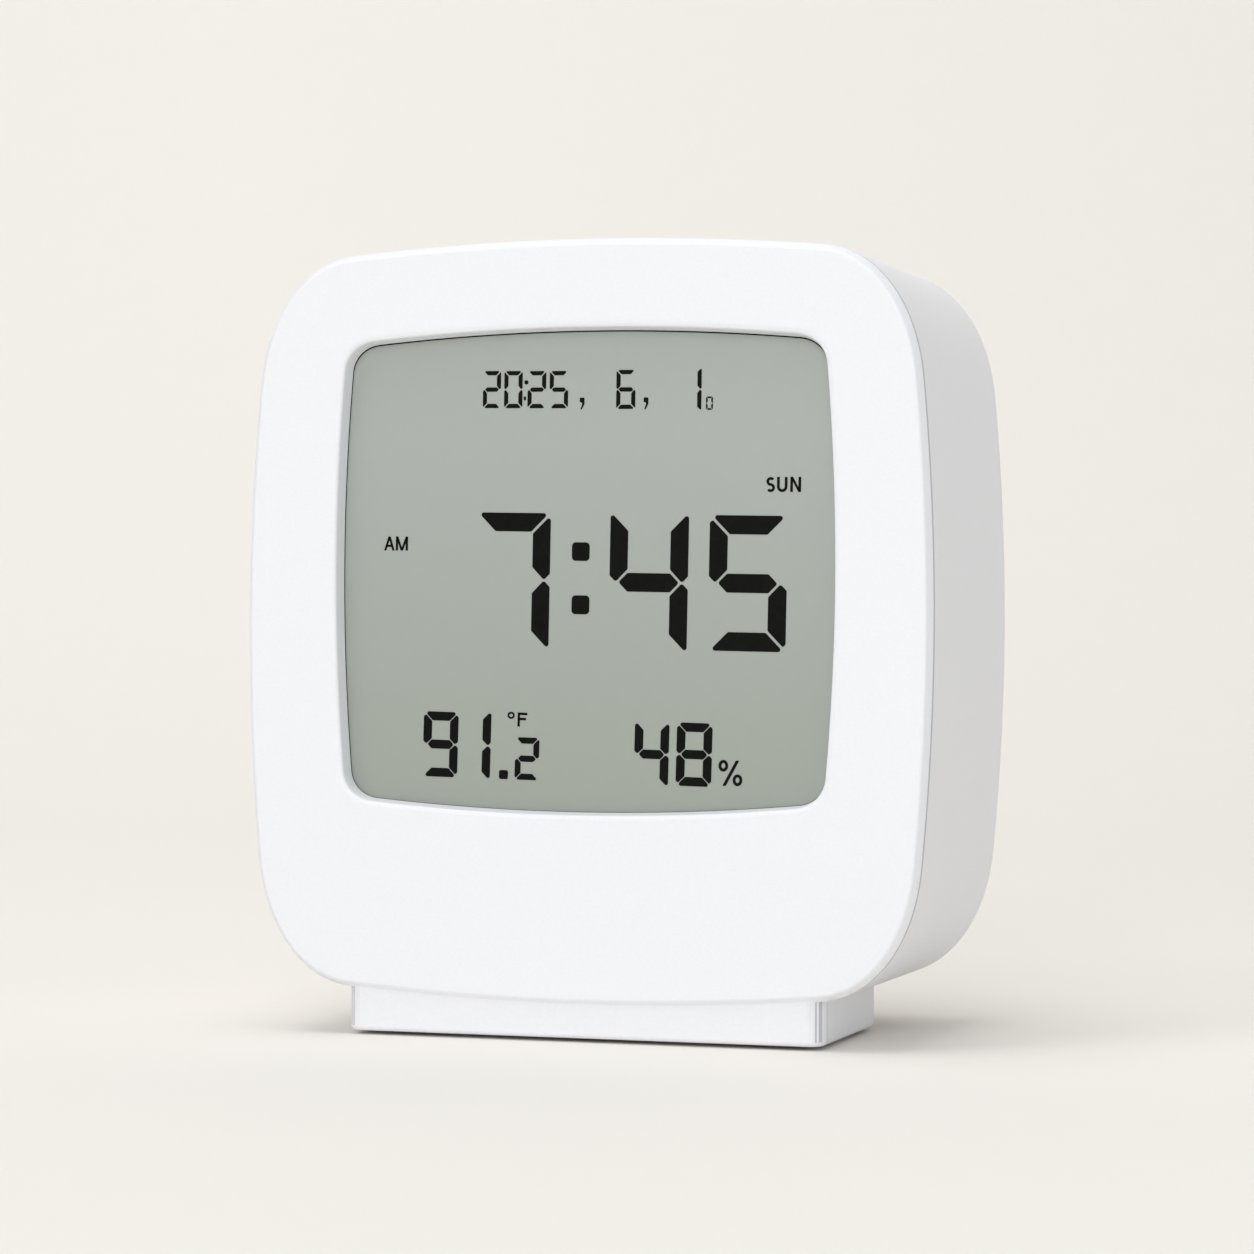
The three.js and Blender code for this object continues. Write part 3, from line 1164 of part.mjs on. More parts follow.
function capacitor() {
  const y0 = MAIN_BOARD_BACK + SOLDER_GAP;
  const [radius, depth] = [CAPACITOR_RADIUS, CAPACITOR_GROOVE];
  const [end, groove] = [y0 + CAPACITOR_HEIGHT, y0 + CAPACITOR_GROOVE_RISE];
  const profile = [
    [0, y0],
    [radius, y0],
    [radius, groove],
    [radius - depth, groove + depth],
    [radius, groove + 2 * depth],
    [radius, end - depth],
    [radius - depth, end],
    [0, end],
  ];
  return turned(profile, CAPACITOR_X, CAPACITOR_Z, ROUND_SIDES);
}

// A pan head screw whose head seats at y = 0 and whose shank runs towards negative y. Its head is
// straight for a share of its height, then tapers to its crown.
function screw(radius, headRadius, head, length) {
  const profile = [
    [0, -length],
    [radius, -length + 2 * radius],
    [radius, 0],
    [headRadius, 0],
    [headRadius, head * SCREW_HEAD_SIDE],
    [headRadius * SCREW_CROWN, head],
    [0, head],
  ];
  return turned(profile, 0, 0, ROUND_SIDES);
}

const footPad = () => {
  const geometry = new THREE.CylinderGeometry(PAD_DIAMETER / 2, PAD_DIAMETER / 2, PAD_THICKNESS, CELL_SIDES);
  return geometry.rotateX(Math.PI / 2);
};

// Assembly

function named(name, shape, material, place = [0, 0, 0]) {
  const geometry = shape.isBufferGeometry ? shape : geometryOf(shape);
  const mesh = new THREE.Mesh(geometry, material);
  mesh.name = name;
  mesh.position.set(...place);
  return mesh;
}

function displayGroup() {
  const group = new THREE.Group();
  group.add(
    named("front_polariser", filmSlab(POLARISER_FRONT, 0), DISPLAY_FILM),
    named("front_glass", glassSlab(FRONT_GLASS_FRONT, 0), GLASS),
    named("rear_glass", glassSlab(REAR_GLASS_FRONT, GLASS_LEDGE), GLASS),
    named("reflector_film", filmSlab(REFLECTOR_FRONT, GLASS_LEDGE), REFLECTOR_FILM),
    named("zebra_strip_top", zebraStrip(1), CONDUCTIVE_RUBBER),
    named("zebra_strip_bottom", zebraStrip(-1), CONDUCTIVE_RUBBER),
  );
  return group;
}

function mainBoardGroup() {
  const group = new THREE.Group();
  const boardScrew = screw(BOARD_SCREW_RADIUS, BOARD_SCREW_HEAD_RADIUS, BOARD_SCREW_HEAD, BOARD_SCREW_LENGTH);
  const socketEnd = MAIN_BOARD_BACK + SOLDER_GAP + SOCKET_DEPTH;
  group.add(
    named("main_board", mainBoard(), BOARD_LAMINATE),
    named("controller_chip", chipCap(), BLACK_EPOXY),
    named("timing_crystal", crystal(), STEEL),
    named("smoothing_capacitor", capacitor(), BLACK_PLASTIC),
    named(
      "main_ribbon_socket",
      ribbonSocket(MAIN_BOARD_BACK + SOLDER_GAP, socketEnd, 1, MAIN_SOCKET_Z),
      SENSOR_PLASTIC,
    ),
    ...MAIN_BOARD_SCREW_PLACES.map(({ name, x, z }) =>
      named("main_board_screw_" + name, boardScrew, STEEL, [x, MAIN_BOARD_BACK + SEAT_CLEARANCE, z]),
    ),
  );
  return group;
}

function rearBoardGroup() {
  const group = new THREE.Group();
  const boardScrew = geometryOf(
    screw(BOARD_SCREW_RADIUS, BOARD_SCREW_HEAD_RADIUS, BOARD_SCREW_HEAD, BOARD_SCREW_LENGTH),
  ).rotateZ(Math.PI);
  const socketFront = REAR_BOARD_FRONT - SOLDER_GAP - SOCKET_DEPTH;
  group.add(
    named("rear_board", rearBoard(), BOARD_LAMINATE),
    named("sounder", sounder(), BLACK_PLASTIC),
    named("climate_sensor", climateSensor(), SENSOR_PLASTIC),
    named(
      "rear_ribbon_socket",
      ribbonSocket(socketFront, REAR_BOARD_FRONT - SOLDER_GAP, -1, REAR_SOCKET_Z),
      SENSOR_PLASTIC,
    ),
    ...REAR_BOARD_SCREW_PLACES.map(({ name, x, z }) =>
      named("rear_board_screw_" + name, boardScrew, STEEL, [x, REAR_BOARD_FRONT - SEAT_CLEARANCE, z]),
    ),
  );
  const [cap, base, plunger] = [button(), switchBase(), switchPlunger()];
  for (const { name, x } of BUTTONS) {
    const place = [x, 0, BUTTON_ROW_Z];
    group.add(
      named(name + "_button", cap, BUTTON_PLASTIC, place),
      named(name + "_switch", base, BLACK_PLASTIC, place),
      named(name + "_switch_plunger", plunger, SENSOR_PLASTIC, place),
    );
  }
  return group;
}

function powerGroup() {
  const group = new THREE.Group();
  const cell = cellGeometry();
  const spring = geometryOf(tubeThrough(springPath(), SPRING_WIRE_RADIUS, CURL_SIDES));
  const mirroredSpring = spring.clone().rotateZ(Math.PI);
  const nubSeat = BAY_LENGTH / 2 - NUB_STACK;
  const cellMiddle = nubSeat - CELL_LENGTH / 2;
  const springRoot = BAY_LENGTH / 2 - CONTACT_STACK;
  const upper = named("upper_cell", cell.clone().rotateZ(Math.PI), CELL_LABEL, [-cellMiddle, CELL_Y, UPPER_CELL_Z]);
  const lower = named("lower_cell", cell, CELL_LABEL, [cellMiddle, CELL_Y, LOWER_CELL_Z]);
  group.add(
    upper,
    lower,
    ...CONTACTS.map((contact) => named(contact.name, contactPlate(contact), NICKEL_PLATE)),
    named("negative_spring", spring, NICKEL_PLATE, [-springRoot, CELL_Y, LOWER_CELL_Z]),
    named("bridge_spring", mirroredSpring, NICKEL_PLATE, [springRoot, CELL_Y, UPPER_CELL_Z]),
    named("positive_lead", batteryLead(UPPER_CELL_Z, POSITIVE_PAD_X, POSITIVE_PAD_Z), RED_WIRE),
    named("negative_lead", batteryLead(LOWER_CELL_Z, NEGATIVE_PAD_X, NEGATIVE_PAD_Z), BLACK_WIRE),
    named("ribbon_cable", ribbon(), GREY_RIBBON),
  );
  return group;
}

function caseGroup() {
  const group = new THREE.Group();
  const caseScrew = screw(CASE_SCREW_RADIUS, CASE_SCREW_HEAD_RADIUS, CASE_SCREW_HEAD, CASE_SCREW_LENGTH);
  const pad = footPad();
  const padMiddle = FOOT_BOTTOM - PAD_PROUD + PAD_THICKNESS / 2;
  group.add(
    named("front_bezel", frontBezel(), WHITE_PLASTIC),
    named("rear_housing", rearHousing(), WHITE_PLASTIC),
    named("battery_door", batteryDoor(), WHITE_PLASTIC),
    ...CASE_SCREW_PLACES.map(({ name, x, z }) =>
      named("case_screw_" + name, caseScrew, STEEL, [x, WELL_SEAT + SEAT_CLEARANCE, z]),
    ),
    ...PAD_PLACES.map(({ name, x, y }) => named("foot_pad_" + name, pad, SOFT_RUBBER, [x, y, padMiddle])),
  );
  return group;
}

const coilGap = leastGap(springPath(), SPRING_WIRE_RADIUS);
console.log("least gap of a battery spring to itself: " + coilGap.toFixed(2) + " mm");

const clock = new THREE.Group();
clock.add(caseGroup(), displayGroup(), mainBoardGroup(), rearBoardGroup(), powerGroup());
clock.position.set(0, -OVERALL_DEPTH / 2, BODY_CENTRE_HEIGHT);

const root = new THREE.Group();
root.add(clock);

export default root;
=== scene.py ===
import math

import bmesh
import bpy
import numpy as np
from mathutils import Matrix, Vector


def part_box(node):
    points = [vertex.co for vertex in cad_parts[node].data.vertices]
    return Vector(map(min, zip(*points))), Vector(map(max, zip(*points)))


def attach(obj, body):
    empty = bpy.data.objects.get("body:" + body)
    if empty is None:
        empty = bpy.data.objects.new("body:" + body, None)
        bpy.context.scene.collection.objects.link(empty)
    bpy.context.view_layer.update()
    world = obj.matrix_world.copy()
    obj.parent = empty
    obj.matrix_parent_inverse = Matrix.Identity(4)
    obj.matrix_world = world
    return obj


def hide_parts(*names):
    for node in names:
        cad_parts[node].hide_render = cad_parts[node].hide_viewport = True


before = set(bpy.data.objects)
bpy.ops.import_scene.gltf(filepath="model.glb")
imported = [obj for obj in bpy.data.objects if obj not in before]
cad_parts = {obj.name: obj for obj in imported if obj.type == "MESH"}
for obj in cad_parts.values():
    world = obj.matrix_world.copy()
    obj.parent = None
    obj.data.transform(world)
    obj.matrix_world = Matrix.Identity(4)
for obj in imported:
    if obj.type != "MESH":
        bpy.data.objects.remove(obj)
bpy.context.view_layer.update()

# Sizes are in millimetres, in the frame of the front face: x to the right, y the depth behind the face,
# z up from the middle of the body.

# Body. An outline has its half sizes, the radii of its side and cap arcs, how far each arc runs from its
# middle, and how full its corners are.
BODY_WIDTH = 90.0
BODY_HEIGHT = 96.0
BODY_DEPTH = 47.0
BODY_BOTTOM = -BODY_HEIGHT / 2
BODY_OUTLINE_SIZES = dict(
    half_width=BODY_WIDTH / 2, half_height=BODY_HEIGHT / 2, side_radius=321.0, cap_radius=336.0,
    side_run=30.0, cap_run=31.0, fullness=0.6,
)
FRONT_EDGE = dict(radius=0.5, start=0, end=57, before=0.0, depth=1.11)
REAR_FILLET = 4.0
PARTING_DEPTH = 1.3
PARTING_EDGE = 0.25
RIM_DEPTH = 1.55
# Bounds of the reach from the middle, as shares of width and height, where shade is painted into the parting
# groove
GROOVE_REACH = (0.41, 0.501)

# Skins lie a hair proud of the solids' faceted surfaces. Pieces that keep their solid get a plain edge.
SKIN = 0.8
SKIN_PROUD = 0.005
SHADING_ANGLE = 28.0
PLAIN_EDGE = 0.12
PLAIN_EDGE_ANGLE = 35

# The body's hollow, and how far cutters run past what they cut
HOLLOW_INSET = 1.75
HOLLOW_END = 40.0
CUTTER_REACH = 1.0
BEFORE_FACE = 0.5
PAST_EDGE = 0.02
EDGE_CUT_SHIFT = 0.002

# Foot and pads
FOOT_WIDTH = 62.6
FOOT_DEPTH = 28.4
FOOT_SETBACK = 0.9
FOOT_BOTTOM = BODY_BOTTOM - 4.2
FOOT_TOP = BODY_BOTTOM + 10.0
FOOT_CORNER = 2.0
FOOT_EDGE = 0.6
FOOT_PARTING = 3.4
FOOT_REAR_START = 3.65
FOOT_ROOM = 0.1
PAD_RADIUS = 4.0
PAD_EDGE = 0.3
PAD_RECESS = 0.75
PAD_CLEARANCE = 0.1
PAD_NAMES = ["foot_pad_" + end + "_" + side for end in ("front", "rear") for side in ("left", "right")]

# Window and display. Ink and a painted rim shadow lie from just before the film's front to just behind it.
WINDOW_RISE = 6.35
WINDOW_EDGE = dict(radius=0.45, start=19, end=82, before=0.5, depth=2.4)
WINDOW_OUTLINE_SIZES = dict(
    half_width=32.5, half_height=30.25, side_radius=295.0, cap_radius=295.0,
    side_run=25.45, cap_run=27.7, fullness=0.6,
)
FILM_FRONT = 2.6
INK_FRONT = FILM_FRONT - 0.03
INK_BACK = FILM_FRONT + 0.02
# A painted shadow along the window's rim: its two insets from the window's outline, and how far it is moved
# left and down
RIM_SHADOW_BAND = (-0.3, 0.09)
RIM_SHADOW_SHIFT = 0.06
FREE_TIP = 0.3
WAIST_TIP = 0.34
WAIST_GAP = 0.1
BAR_CORNER = 0.22
BAR_CORNER_LIMIT = 0.3

# Battery door in its recess, and the half sizes and height of the scoop for a finger
DOOR_WIDTH = 57.0
DOOR_HEIGHT = 27.4
DOOR_Z = BODY_BOTTOM + 28.4
DOOR_GAP = 0.3
RECESS_CORNER = 0.6
LEDGE = BODY_DEPTH - 1.7
SCOOP = (6.5, 0.9, 4.4)
SCOOP_Z = DOOR_Z + DOOR_HEIGHT / 2 + DOOR_GAP

# Buttons, as width, height and corner radius of cap and flange
BUTTON_ROW_Z = 9.0
BUTTON_PLACES = {"mode": 21.0, "up": 7.0, "down": -7.0, "unit": -21.0}
BUTTON_CAP = (9.0, 5.0, 1.6)
BUTTON_FLANGE = (11.2, 7.2, 2.7)
BUTTON_GAP = 0.25
BUTTON_TOP = BODY_DEPTH + 0.6
FLANGE_TOP = BODY_DEPTH - 2.2
FLANGE_BOTTOM = BODY_DEPTH - 3.2
BUTTON_EDGE = 0.5
BUTTON_DISH = 0.12
DISH_RUN = 1.0

# Other openings of the rear wall. The sound holes have their middle x and z, pitch and radius, and the vents
# their middle x and z, width, height, pitch and count.
WELL_PLACES = [(37.5, 21.0), (-37.5, 21.0), (28.0, BODY_BOTTOM + 10), (-28.0, BODY_BOTTOM + 10)]
WELL_RADIUS = 3.1
WELL_BOTTOM = 14.0
WALL_CUT = BODY_DEPTH - 2.5
SOUND_HOLES = (-17.0, BODY_HEIGHT / 2 - 19.4, 2.8, 0.8)
SOUND_FLARE = 0.15
VENTS = (17.0, BODY_HEIGHT / 2 - 19.4, 12.0, 1.4, 2.6, 5)
VENT_FLARE = 0.2
MOUTH_FLARE = 0.25

face_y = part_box("front_bezel")[0].y * 1000
centre_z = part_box("front_bezel")[1].z * 1000 - BODY_HEIGHT / 2


def placed(points):
    """Points of the face's frame in millimetres, moved to the part's frame in metres."""
    return (np.asarray(points, float) + [0, face_y, centre_z]) / 1000


def pad_middle(name):
    """The x and y of a pad's middle in the face's frame."""
    low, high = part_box(name)
    return (low.x + high.x) * 500, (low.y + high.y) * 500 - face_y


# Surfaces


def add_mesh(name, points, faces):
    """A mesh object of points in the face's frame and faces as lists of point numbers."""
    mesh = bpy.data.meshes.new(name)
    mesh.from_pydata(placed(points).tolist(), [], faces)
    mesh.update()
    obj = bpy.data.objects.new(name, mesh)
    bpy.context.scene.collection.objects.link(obj)
    return obj


def loft(rings, closed=False):
    """Points and faces of rings joined side to side. Point j of ring i is number i * n + j, and a quad
    joins it to point j + 1 and to the same two points of ring i + 1. The first and last ring get a flat
    face, or are joined to each other if closed."""
    rings = np.asarray(rings, float)
    count, around = rings.shape[:2]
    i, j = np.meshgrid(np.arange(count if closed else count - 1), np.arange(around), indexing="ij")
    k, n = (i + 1) % count, (j + 1) % around
    quads = np.stack([i * around + j, k * around + j, k * around + n, i * around + n], -1)
    faces = quads.reshape(-1, 4).tolist()
    if not closed:
        faces += [list(range(around)), list(range(count * around - 1, (count - 1) * around - 1, -1))]
    return rings.reshape(-1, 3), faces


def stood_up(points, faces):
    """A form made about a line along y, with y and z exchanged so that the line runs along z. The faces
    are turned over, because the exchange is a reflection."""
    return points[:, [0, 2, 1]], [face[::-1] for face in faces]


def ring(outline, inset, y, centre=(0.0, 0.0)):
    """An outline of (x, z, normal x, normal z) rows moved inwards along its normals, at depth y."""
    place = outline[:, :2] - outline[:, 2:] * inset + centre
    return np.stack([place[:, 0], np.full(len(place), y), place[:, 1]], 1)


def quarter_round(radius, steps=8):
    """Rows of inset and depth of a quarter circle: inset r (1 - sin a), depth r (1 - cos a)."""
    angle = np.linspace(0, math.pi / 2, steps + 1)
    return np.stack([radius * (1 - np.sin(angle)), radius * (1 - np.cos(angle))], 1)


def eased_edge(radius, start, end, before, depth, steps=10):
    """Rows of inset and depth down an edge: a straight run of the length before, an arc that turns from
    the start angle to the end angle in degrees, and a straight run that ends at the given depth with no
    inset. At angle a the way runs along (-cos a, sin a), so that 0 lies in the front face and 90 leads
    straight back."""
    angle = np.radians(np.linspace(start, end, steps + 1))
    way = np.stack([-np.cos(angle), np.sin(angle)], 1)
    arc = radius * np.stack([-np.sin(angle), 1 - np.cos(angle)], 1)
    first = arc[0] - before * way[0]
    last = arc[-1] + way[-1] * (depth + first[1] - arc[-1, 1]) / way[-1, 1]
    rows = np.vstack([arc, last] if before == 0 else [first, arc, last])
    return rows - [last[0], first[1]]


def barrel_outline(half_width, half_height, side_radius, cap_radius, side_run, cap_run, fullness,
                   side_steps=16, corner_steps=40):
    """Four long arcs joined by cubic corners, as rows of x, z and outward normal. An arc of radius R
    passes through the middle of each side. A corner is a Bezier curve whose two handles lie on the arcs'
    end tangents, as long as fullness times the way to where the tangents meet."""
    side_turn = math.asin(side_run / side_radius)
    cap_turn = math.pi / 2 - math.asin(cap_run / cap_radius)

    def arc(centre, radius, angle):
        normal = np.stack([np.cos(angle), np.sin(angle)], 1)
        return np.hstack([centre + radius * normal, normal])

    side = arc([half_width - side_radius, 0.0], side_radius, np.linspace(0, side_turn, side_steps + 1))
    cap = arc([0.0, half_height - cap_radius], cap_radius, np.linspace(cap_turn, math.pi / 2, side_steps + 1))
    start, end = side[-1], cap[0]
    gap = end[:2] - start[:2]
    turn = start[2] * end[3] - start[3] * end[2]
    start_reach, end_reach = gap @ end[2:] / turn, -gap @ start[2:] / turn
    handles = np.array([
        start[:2],
        start[:2] + np.array([-start[3], start[2]]) * start_reach * fullness,
        end[:2] - np.array([-end[3], end[2]]) * end_reach * fullness,
        end[:2],
    ])
    t = np.linspace(0, 1, corner_steps + 1)[:, None]
    weights = np.hstack([(1 - t) ** 3, 3 * t * (1 - t) ** 2, 3 * t**2 * (1 - t), t**3])
    slopes = np.hstack([-3 * (1 - t) ** 2, 3 * (1 - t) * (1 - 3 * t), 3 * t * (2 - 3 * t), 3 * t**2])
    along = slopes @ handles
    along /= np.linalg.norm(along, axis=1)[:, None]
    corner = np.hstack([weights @ handles, along[:, 1:], -along[:, :1]])
    quarter = np.vstack([side[:-1], corner[:-1], cap])
    back = quarter[::-1]
    return np.vstack([
        quarter[:-1],
        (back * [-1, 1, -1, 1])[:-1],
        (quarter * [-1, -1, -1, -1])[:-1],
        (back * [1, -1, 1, -1])[:-1],
    ])


def rounded_rectangle(width, height, radius, steps=12):
    """A rectangle whose corners are quarter circles, as rows of x, z and outward normal, from the lower
    right."""
    angle = np.linspace(-math.pi / 2, 0, steps + 1)
    angles = np.concatenate([angle + turn * math.pi / 2 for turn in range(4)])
    normal = np.stack([np.cos(angles), np.sin(angles)], 1)
    corner = np.repeat([[1, -1], [1, 1], [-1, 1], [-1, -1]], steps + 1, axis=0)
    return np.hstack([corner * [width / 2 - radius, height / 2 - radius] + radius * normal, normal])


def circle(radius, steps=12):
    """A circle with the same number of points as a rounded rectangle."""
    return rounded_rectangle(2 * radius, 2 * radius, radius, steps)


def hoop_round(outline, section, centre=(0.0, 0.0)):
    """A closed band along an outline with a section of (inset, y) rows. The rows run clockwise where the
    inset points right and y up, so that the faces point outwards."""
    return loft([ring(outline, inset, y, centre) for inset, y in section], closed=True)


def mouth_cutter(outline, y0, y1, flare, centre):
    """A straight cutter along y whose end at depth y1 widens by a quarter round, so that its mouth has an
    edge radius. It runs on past y1."""
    edge = quarter_round(flare, 5)[::-1]
    return loft([
        ring(outline, -SKIN_PROUD, y0, centre),
        *[ring(outline, -inset - SKIN_PROUD, y1 - depth, centre) for inset, depth in edge],
        ring(outline, -flare - SKIN_PROUD, y1 + CUTTER_REACH, centre),
    ])


def turned(profile, centre, steps=16):
    """Rings of a profile of (radius, y) rows turned about a line along y."""
    unit = circle(1.0, steps)
    return loft([
        np.stack([centre[0] + r * unit[:, 2], np.full(len(unit), y), centre[1] + r * unit[:, 3]], 1)
        for r, y in profile
    ])


def block(low, high):
    """A box from its lowest to its highest corner."""
    (x0, y0, z0), (x1, y1, z1) = low, high
    section = np.array([[x1, z0], [x1, z1], [x0, z1], [x0, z0]])
    return loft([np.insert(section, 1, y, axis=1) for y in (y0, y1)])


def foot_block(inset, proud=0.0):
    """The foot as rounded rectangles from its root down, the lowest ones drawn in by a quarter round."""
    middle = FOOT_SETBACK + FOOT_DEPTH / 2
    width = FOOT_WIDTH - 2 * inset + 2 * proud
    depth = FOOT_DEPTH - 2 * inset + 2 * proud
    plan = rounded_rectangle(width, depth, max(FOOT_CORNER - inset, FOOT_EDGE))
    lowest = FOOT_BOTTOM + inset - proud

    def level(extra, z):
        place = plan[:, :2] - plan[:, 2:] * extra
        return np.stack([place[:, 0], middle + place[:, 1], np.full(len(place), z)], 1)

    edge = quarter_round(FOOT_EDGE, 6)[::-1]
    return loft([level(0, FOOT_TOP), *[level(extra, lowest + rise) for extra, rise in edge]])


# Solid operations


def merged_copy(node):
    """A copy of a CAD node with its loose triangles joined at their corners."""
    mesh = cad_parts[node].data.copy()
    cells = bmesh.new()
    cells.from_mesh(mesh)
    bmesh.ops.remove_doubles(cells, verts=cells.verts, dist=1e-7)
    cells.to_mesh(mesh)
    cells.free()
    mesh.materials.clear()
    obj = bpy.data.objects.new(node + "_copy", mesh)
    bpy.context.scene.collection.objects.link(obj)
    return obj


def shaped(name, start, steps):
    """The start solid after each step of (operation, solid). All the solids are used up."""
    tools = []
    for operation, tool in steps:
        other = tool if isinstance(tool, bpy.types.Object) else add_mesh(name + "_tool", *tool)
        tools.append(other)
        step = start.modifiers.new("step", "BOOLEAN")
        step.solver, step.operation, step.object = "MANIFOLD", operation, other
    graph = bpy.context.evaluated_depsgraph_get()
    mesh = bpy.data.meshes.new_from_object(start.evaluated_get(graph), depsgraph=graph)
    for used in [start, *tools]:
        bpy.data.objects.remove(used)
    mesh.name = name
    obj = bpy.data.objects.new(name, mesh)
    bpy.context.scene.collection.objects.link(obj)
    return obj


def smooth(obj):
    """Smooth shading up to an angle between faces, with large faces kept flat by weighted normals."""
    obj.data.shade_smooth()
    obj.data.set_sharp_from_angle(angle=math.radians(SHADING_ANGLE))
    weigh = obj.modifiers.new("weigh", "WEIGHTED_NORMAL")
    weigh.keep_sharp, weigh.weight = True, 100
    return obj


def fit(obj, body, slot, finish, *nodes):
    """The piece rides on a body, takes a finish, and stands for any CAD nodes given. The slot is not used."""
    obj.data.materials.clear()
    obj.data.materials.append(finish)
    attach(obj, body)
    if nodes:
        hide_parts(*nodes)
    return obj


# Finishes


def linear(shade):
    """A colour of 0 to 255 as light amounts: ((c + 0.055) / 1.055) ** 2.4 above the toe of the curve."""
    part = np.asarray(shade, float) / 255
    return np.where(part > 0.04045, ((part + 0.055) / 1.055) ** 2.4, part / 12.92).tolist()


def finish_of(name, dark, light, roughness, grain, depth=0.0, metallic=0.0, stretch=(1, 1, 1), **sockets):
    """A surface whose colour wanders between two shades with a noise of the given grain (per metre), and
    whose skin has the same grain as relief. The roughness wanders by 5 percent either way."""
    surface = bpy.data.materials.new(name)
    surface.use_nodes = True
    tree = surface.node_tree
    shader = tree.nodes["Principled BSDF"]
    place = tree.nodes.new("ShaderNodeTexCoord")
    scale = tree.nodes.new("ShaderNodeMapping")
    scale.inputs["Scale"].default_value = stretch
    noise = tree.nodes.new("ShaderNodeTexNoise")
    noise.inputs["Scale"].default_value = grain
    noise.inputs["Detail"].default_value = 4
    shades = tree.nodes.new("ShaderNodeValToRGB")
    shades.color_ramp.elements[0].position, shades.color_ramp.elements[1].position = 0.3, 0.7
    shades.color_ramp.elements[0].color = (*linear(dark), 1)
    shades.color_ramp.elements[1].color = (*linear(light), 1)
    spread = tree.nodes.new("ShaderNodeMapRange")
    spread.inputs["To Min"].default_value = roughness * 0.95
    spread.inputs["To Max"].default_value = roughness * 1.05
    tree.links.new(place.outputs["Object"], scale.inputs["Vector"])
    tree.links.new(scale.outputs["Vector"], noise.inputs["Vector"])
    tree.links.new(noise.outputs["Fac"], shades.inputs["Fac"])
    tree.links.new(noise.outputs["Fac"], spread.inputs["Value"])
    tree.links.new(shades.outputs["Color"], shader.inputs["Base Color"])
    tree.links.new(spread.outputs["Result"], shader.inputs["Roughness"])
    shader.inputs["Metallic"].default_value = metallic
    for socket, value in sockets.items():
        shader.inputs[socket.replace("_", " ")].default_value = value
    if depth:
        relief = tree.nodes.new("ShaderNodeBump")
        relief.inputs["Distance"].default_value = depth
        relief.inputs["Strength"].default_value = 0.5
        tree.links.new(noise.outputs["Fac"], relief.inputs["Height"])
        tree.links.new(relief.outputs["Normal"], shader.inputs["Normal"])
    return surface


def first_node(tree, kind):
    """The first node of a kind in a material's tree."""
    return next(node for node in tree.nodes if node.type == kind)


def painted_shade_along(surface, direction, start, end, share):
    """Painted shade: the surface's two shades are spread along a direction, from start to end in metres, so
    that its colour runs from the one shade to the other along it, and the noise keeps the given share of its
    say.
    The ramp is read at (1 - share) * distance + share * noise."""
    tree = surface.node_tree
    ramp = first_node(tree, "VALTORGB")
    ramp.color_ramp.elements[0].position, ramp.color_ramp.elements[1].position = 0.0, 1.0
    along = tree.nodes.new("ShaderNodeVectorMath")
    along.operation = "DOT_PRODUCT"
    along.inputs[1].default_value = direction
    reach = tree.nodes.new("ShaderNodeMapRange")
    reach.inputs["From Min"].default_value = start
    reach.inputs["From Max"].default_value = end
    reach.inputs["To Max"].default_value = 1 - share
    blend = tree.nodes.new("ShaderNodeMath")
    blend.operation = "MULTIPLY_ADD"
    blend.inputs[1].default_value = share
    tree.links.new(first_node(tree, "TEX_COORD").outputs["Object"], along.inputs[0])
    tree.links.new(along.outputs["Value"], reach.inputs["Value"])
    tree.links.new(first_node(tree, "TEX_NOISE").outputs["Fac"], blend.inputs[0])
    tree.links.new(reach.outputs["Result"], blend.inputs[2])
    tree.links.new(blend.outputs["Value"], ramp.inputs["Fac"])
    return surface


def shade_painted_in_groove(surface, shade):
    """Painted shade: the surface's colour is multiplied by a darker shade on faces whose groove-shade mask is
    1, in place of the shade that falls into the parting groove.
    """
    tree = surface.node_tree
    painted_groove_shade = tree.nodes.new("ShaderNodeAttribute")
    painted_groove_shade.attribute_name = "painted_groove_shade"
    blend = tree.nodes.new("ShaderNodeMix")
    blend.data_type, blend.blend_type = "RGBA", "MULTIPLY"
    blend.inputs["B"].default_value = (*linear(shade), 1)
    tree.links.new(painted_groove_shade.outputs["Fac"], blend.inputs["Factor"])
    tree.links.new(first_node(tree, "VALTORGB").outputs["Color"], blend.inputs["A"])
    tree.links.new(blend.outputs["Result"], tree.nodes["Principled BSDF"].inputs["Base Color"])
    return surface


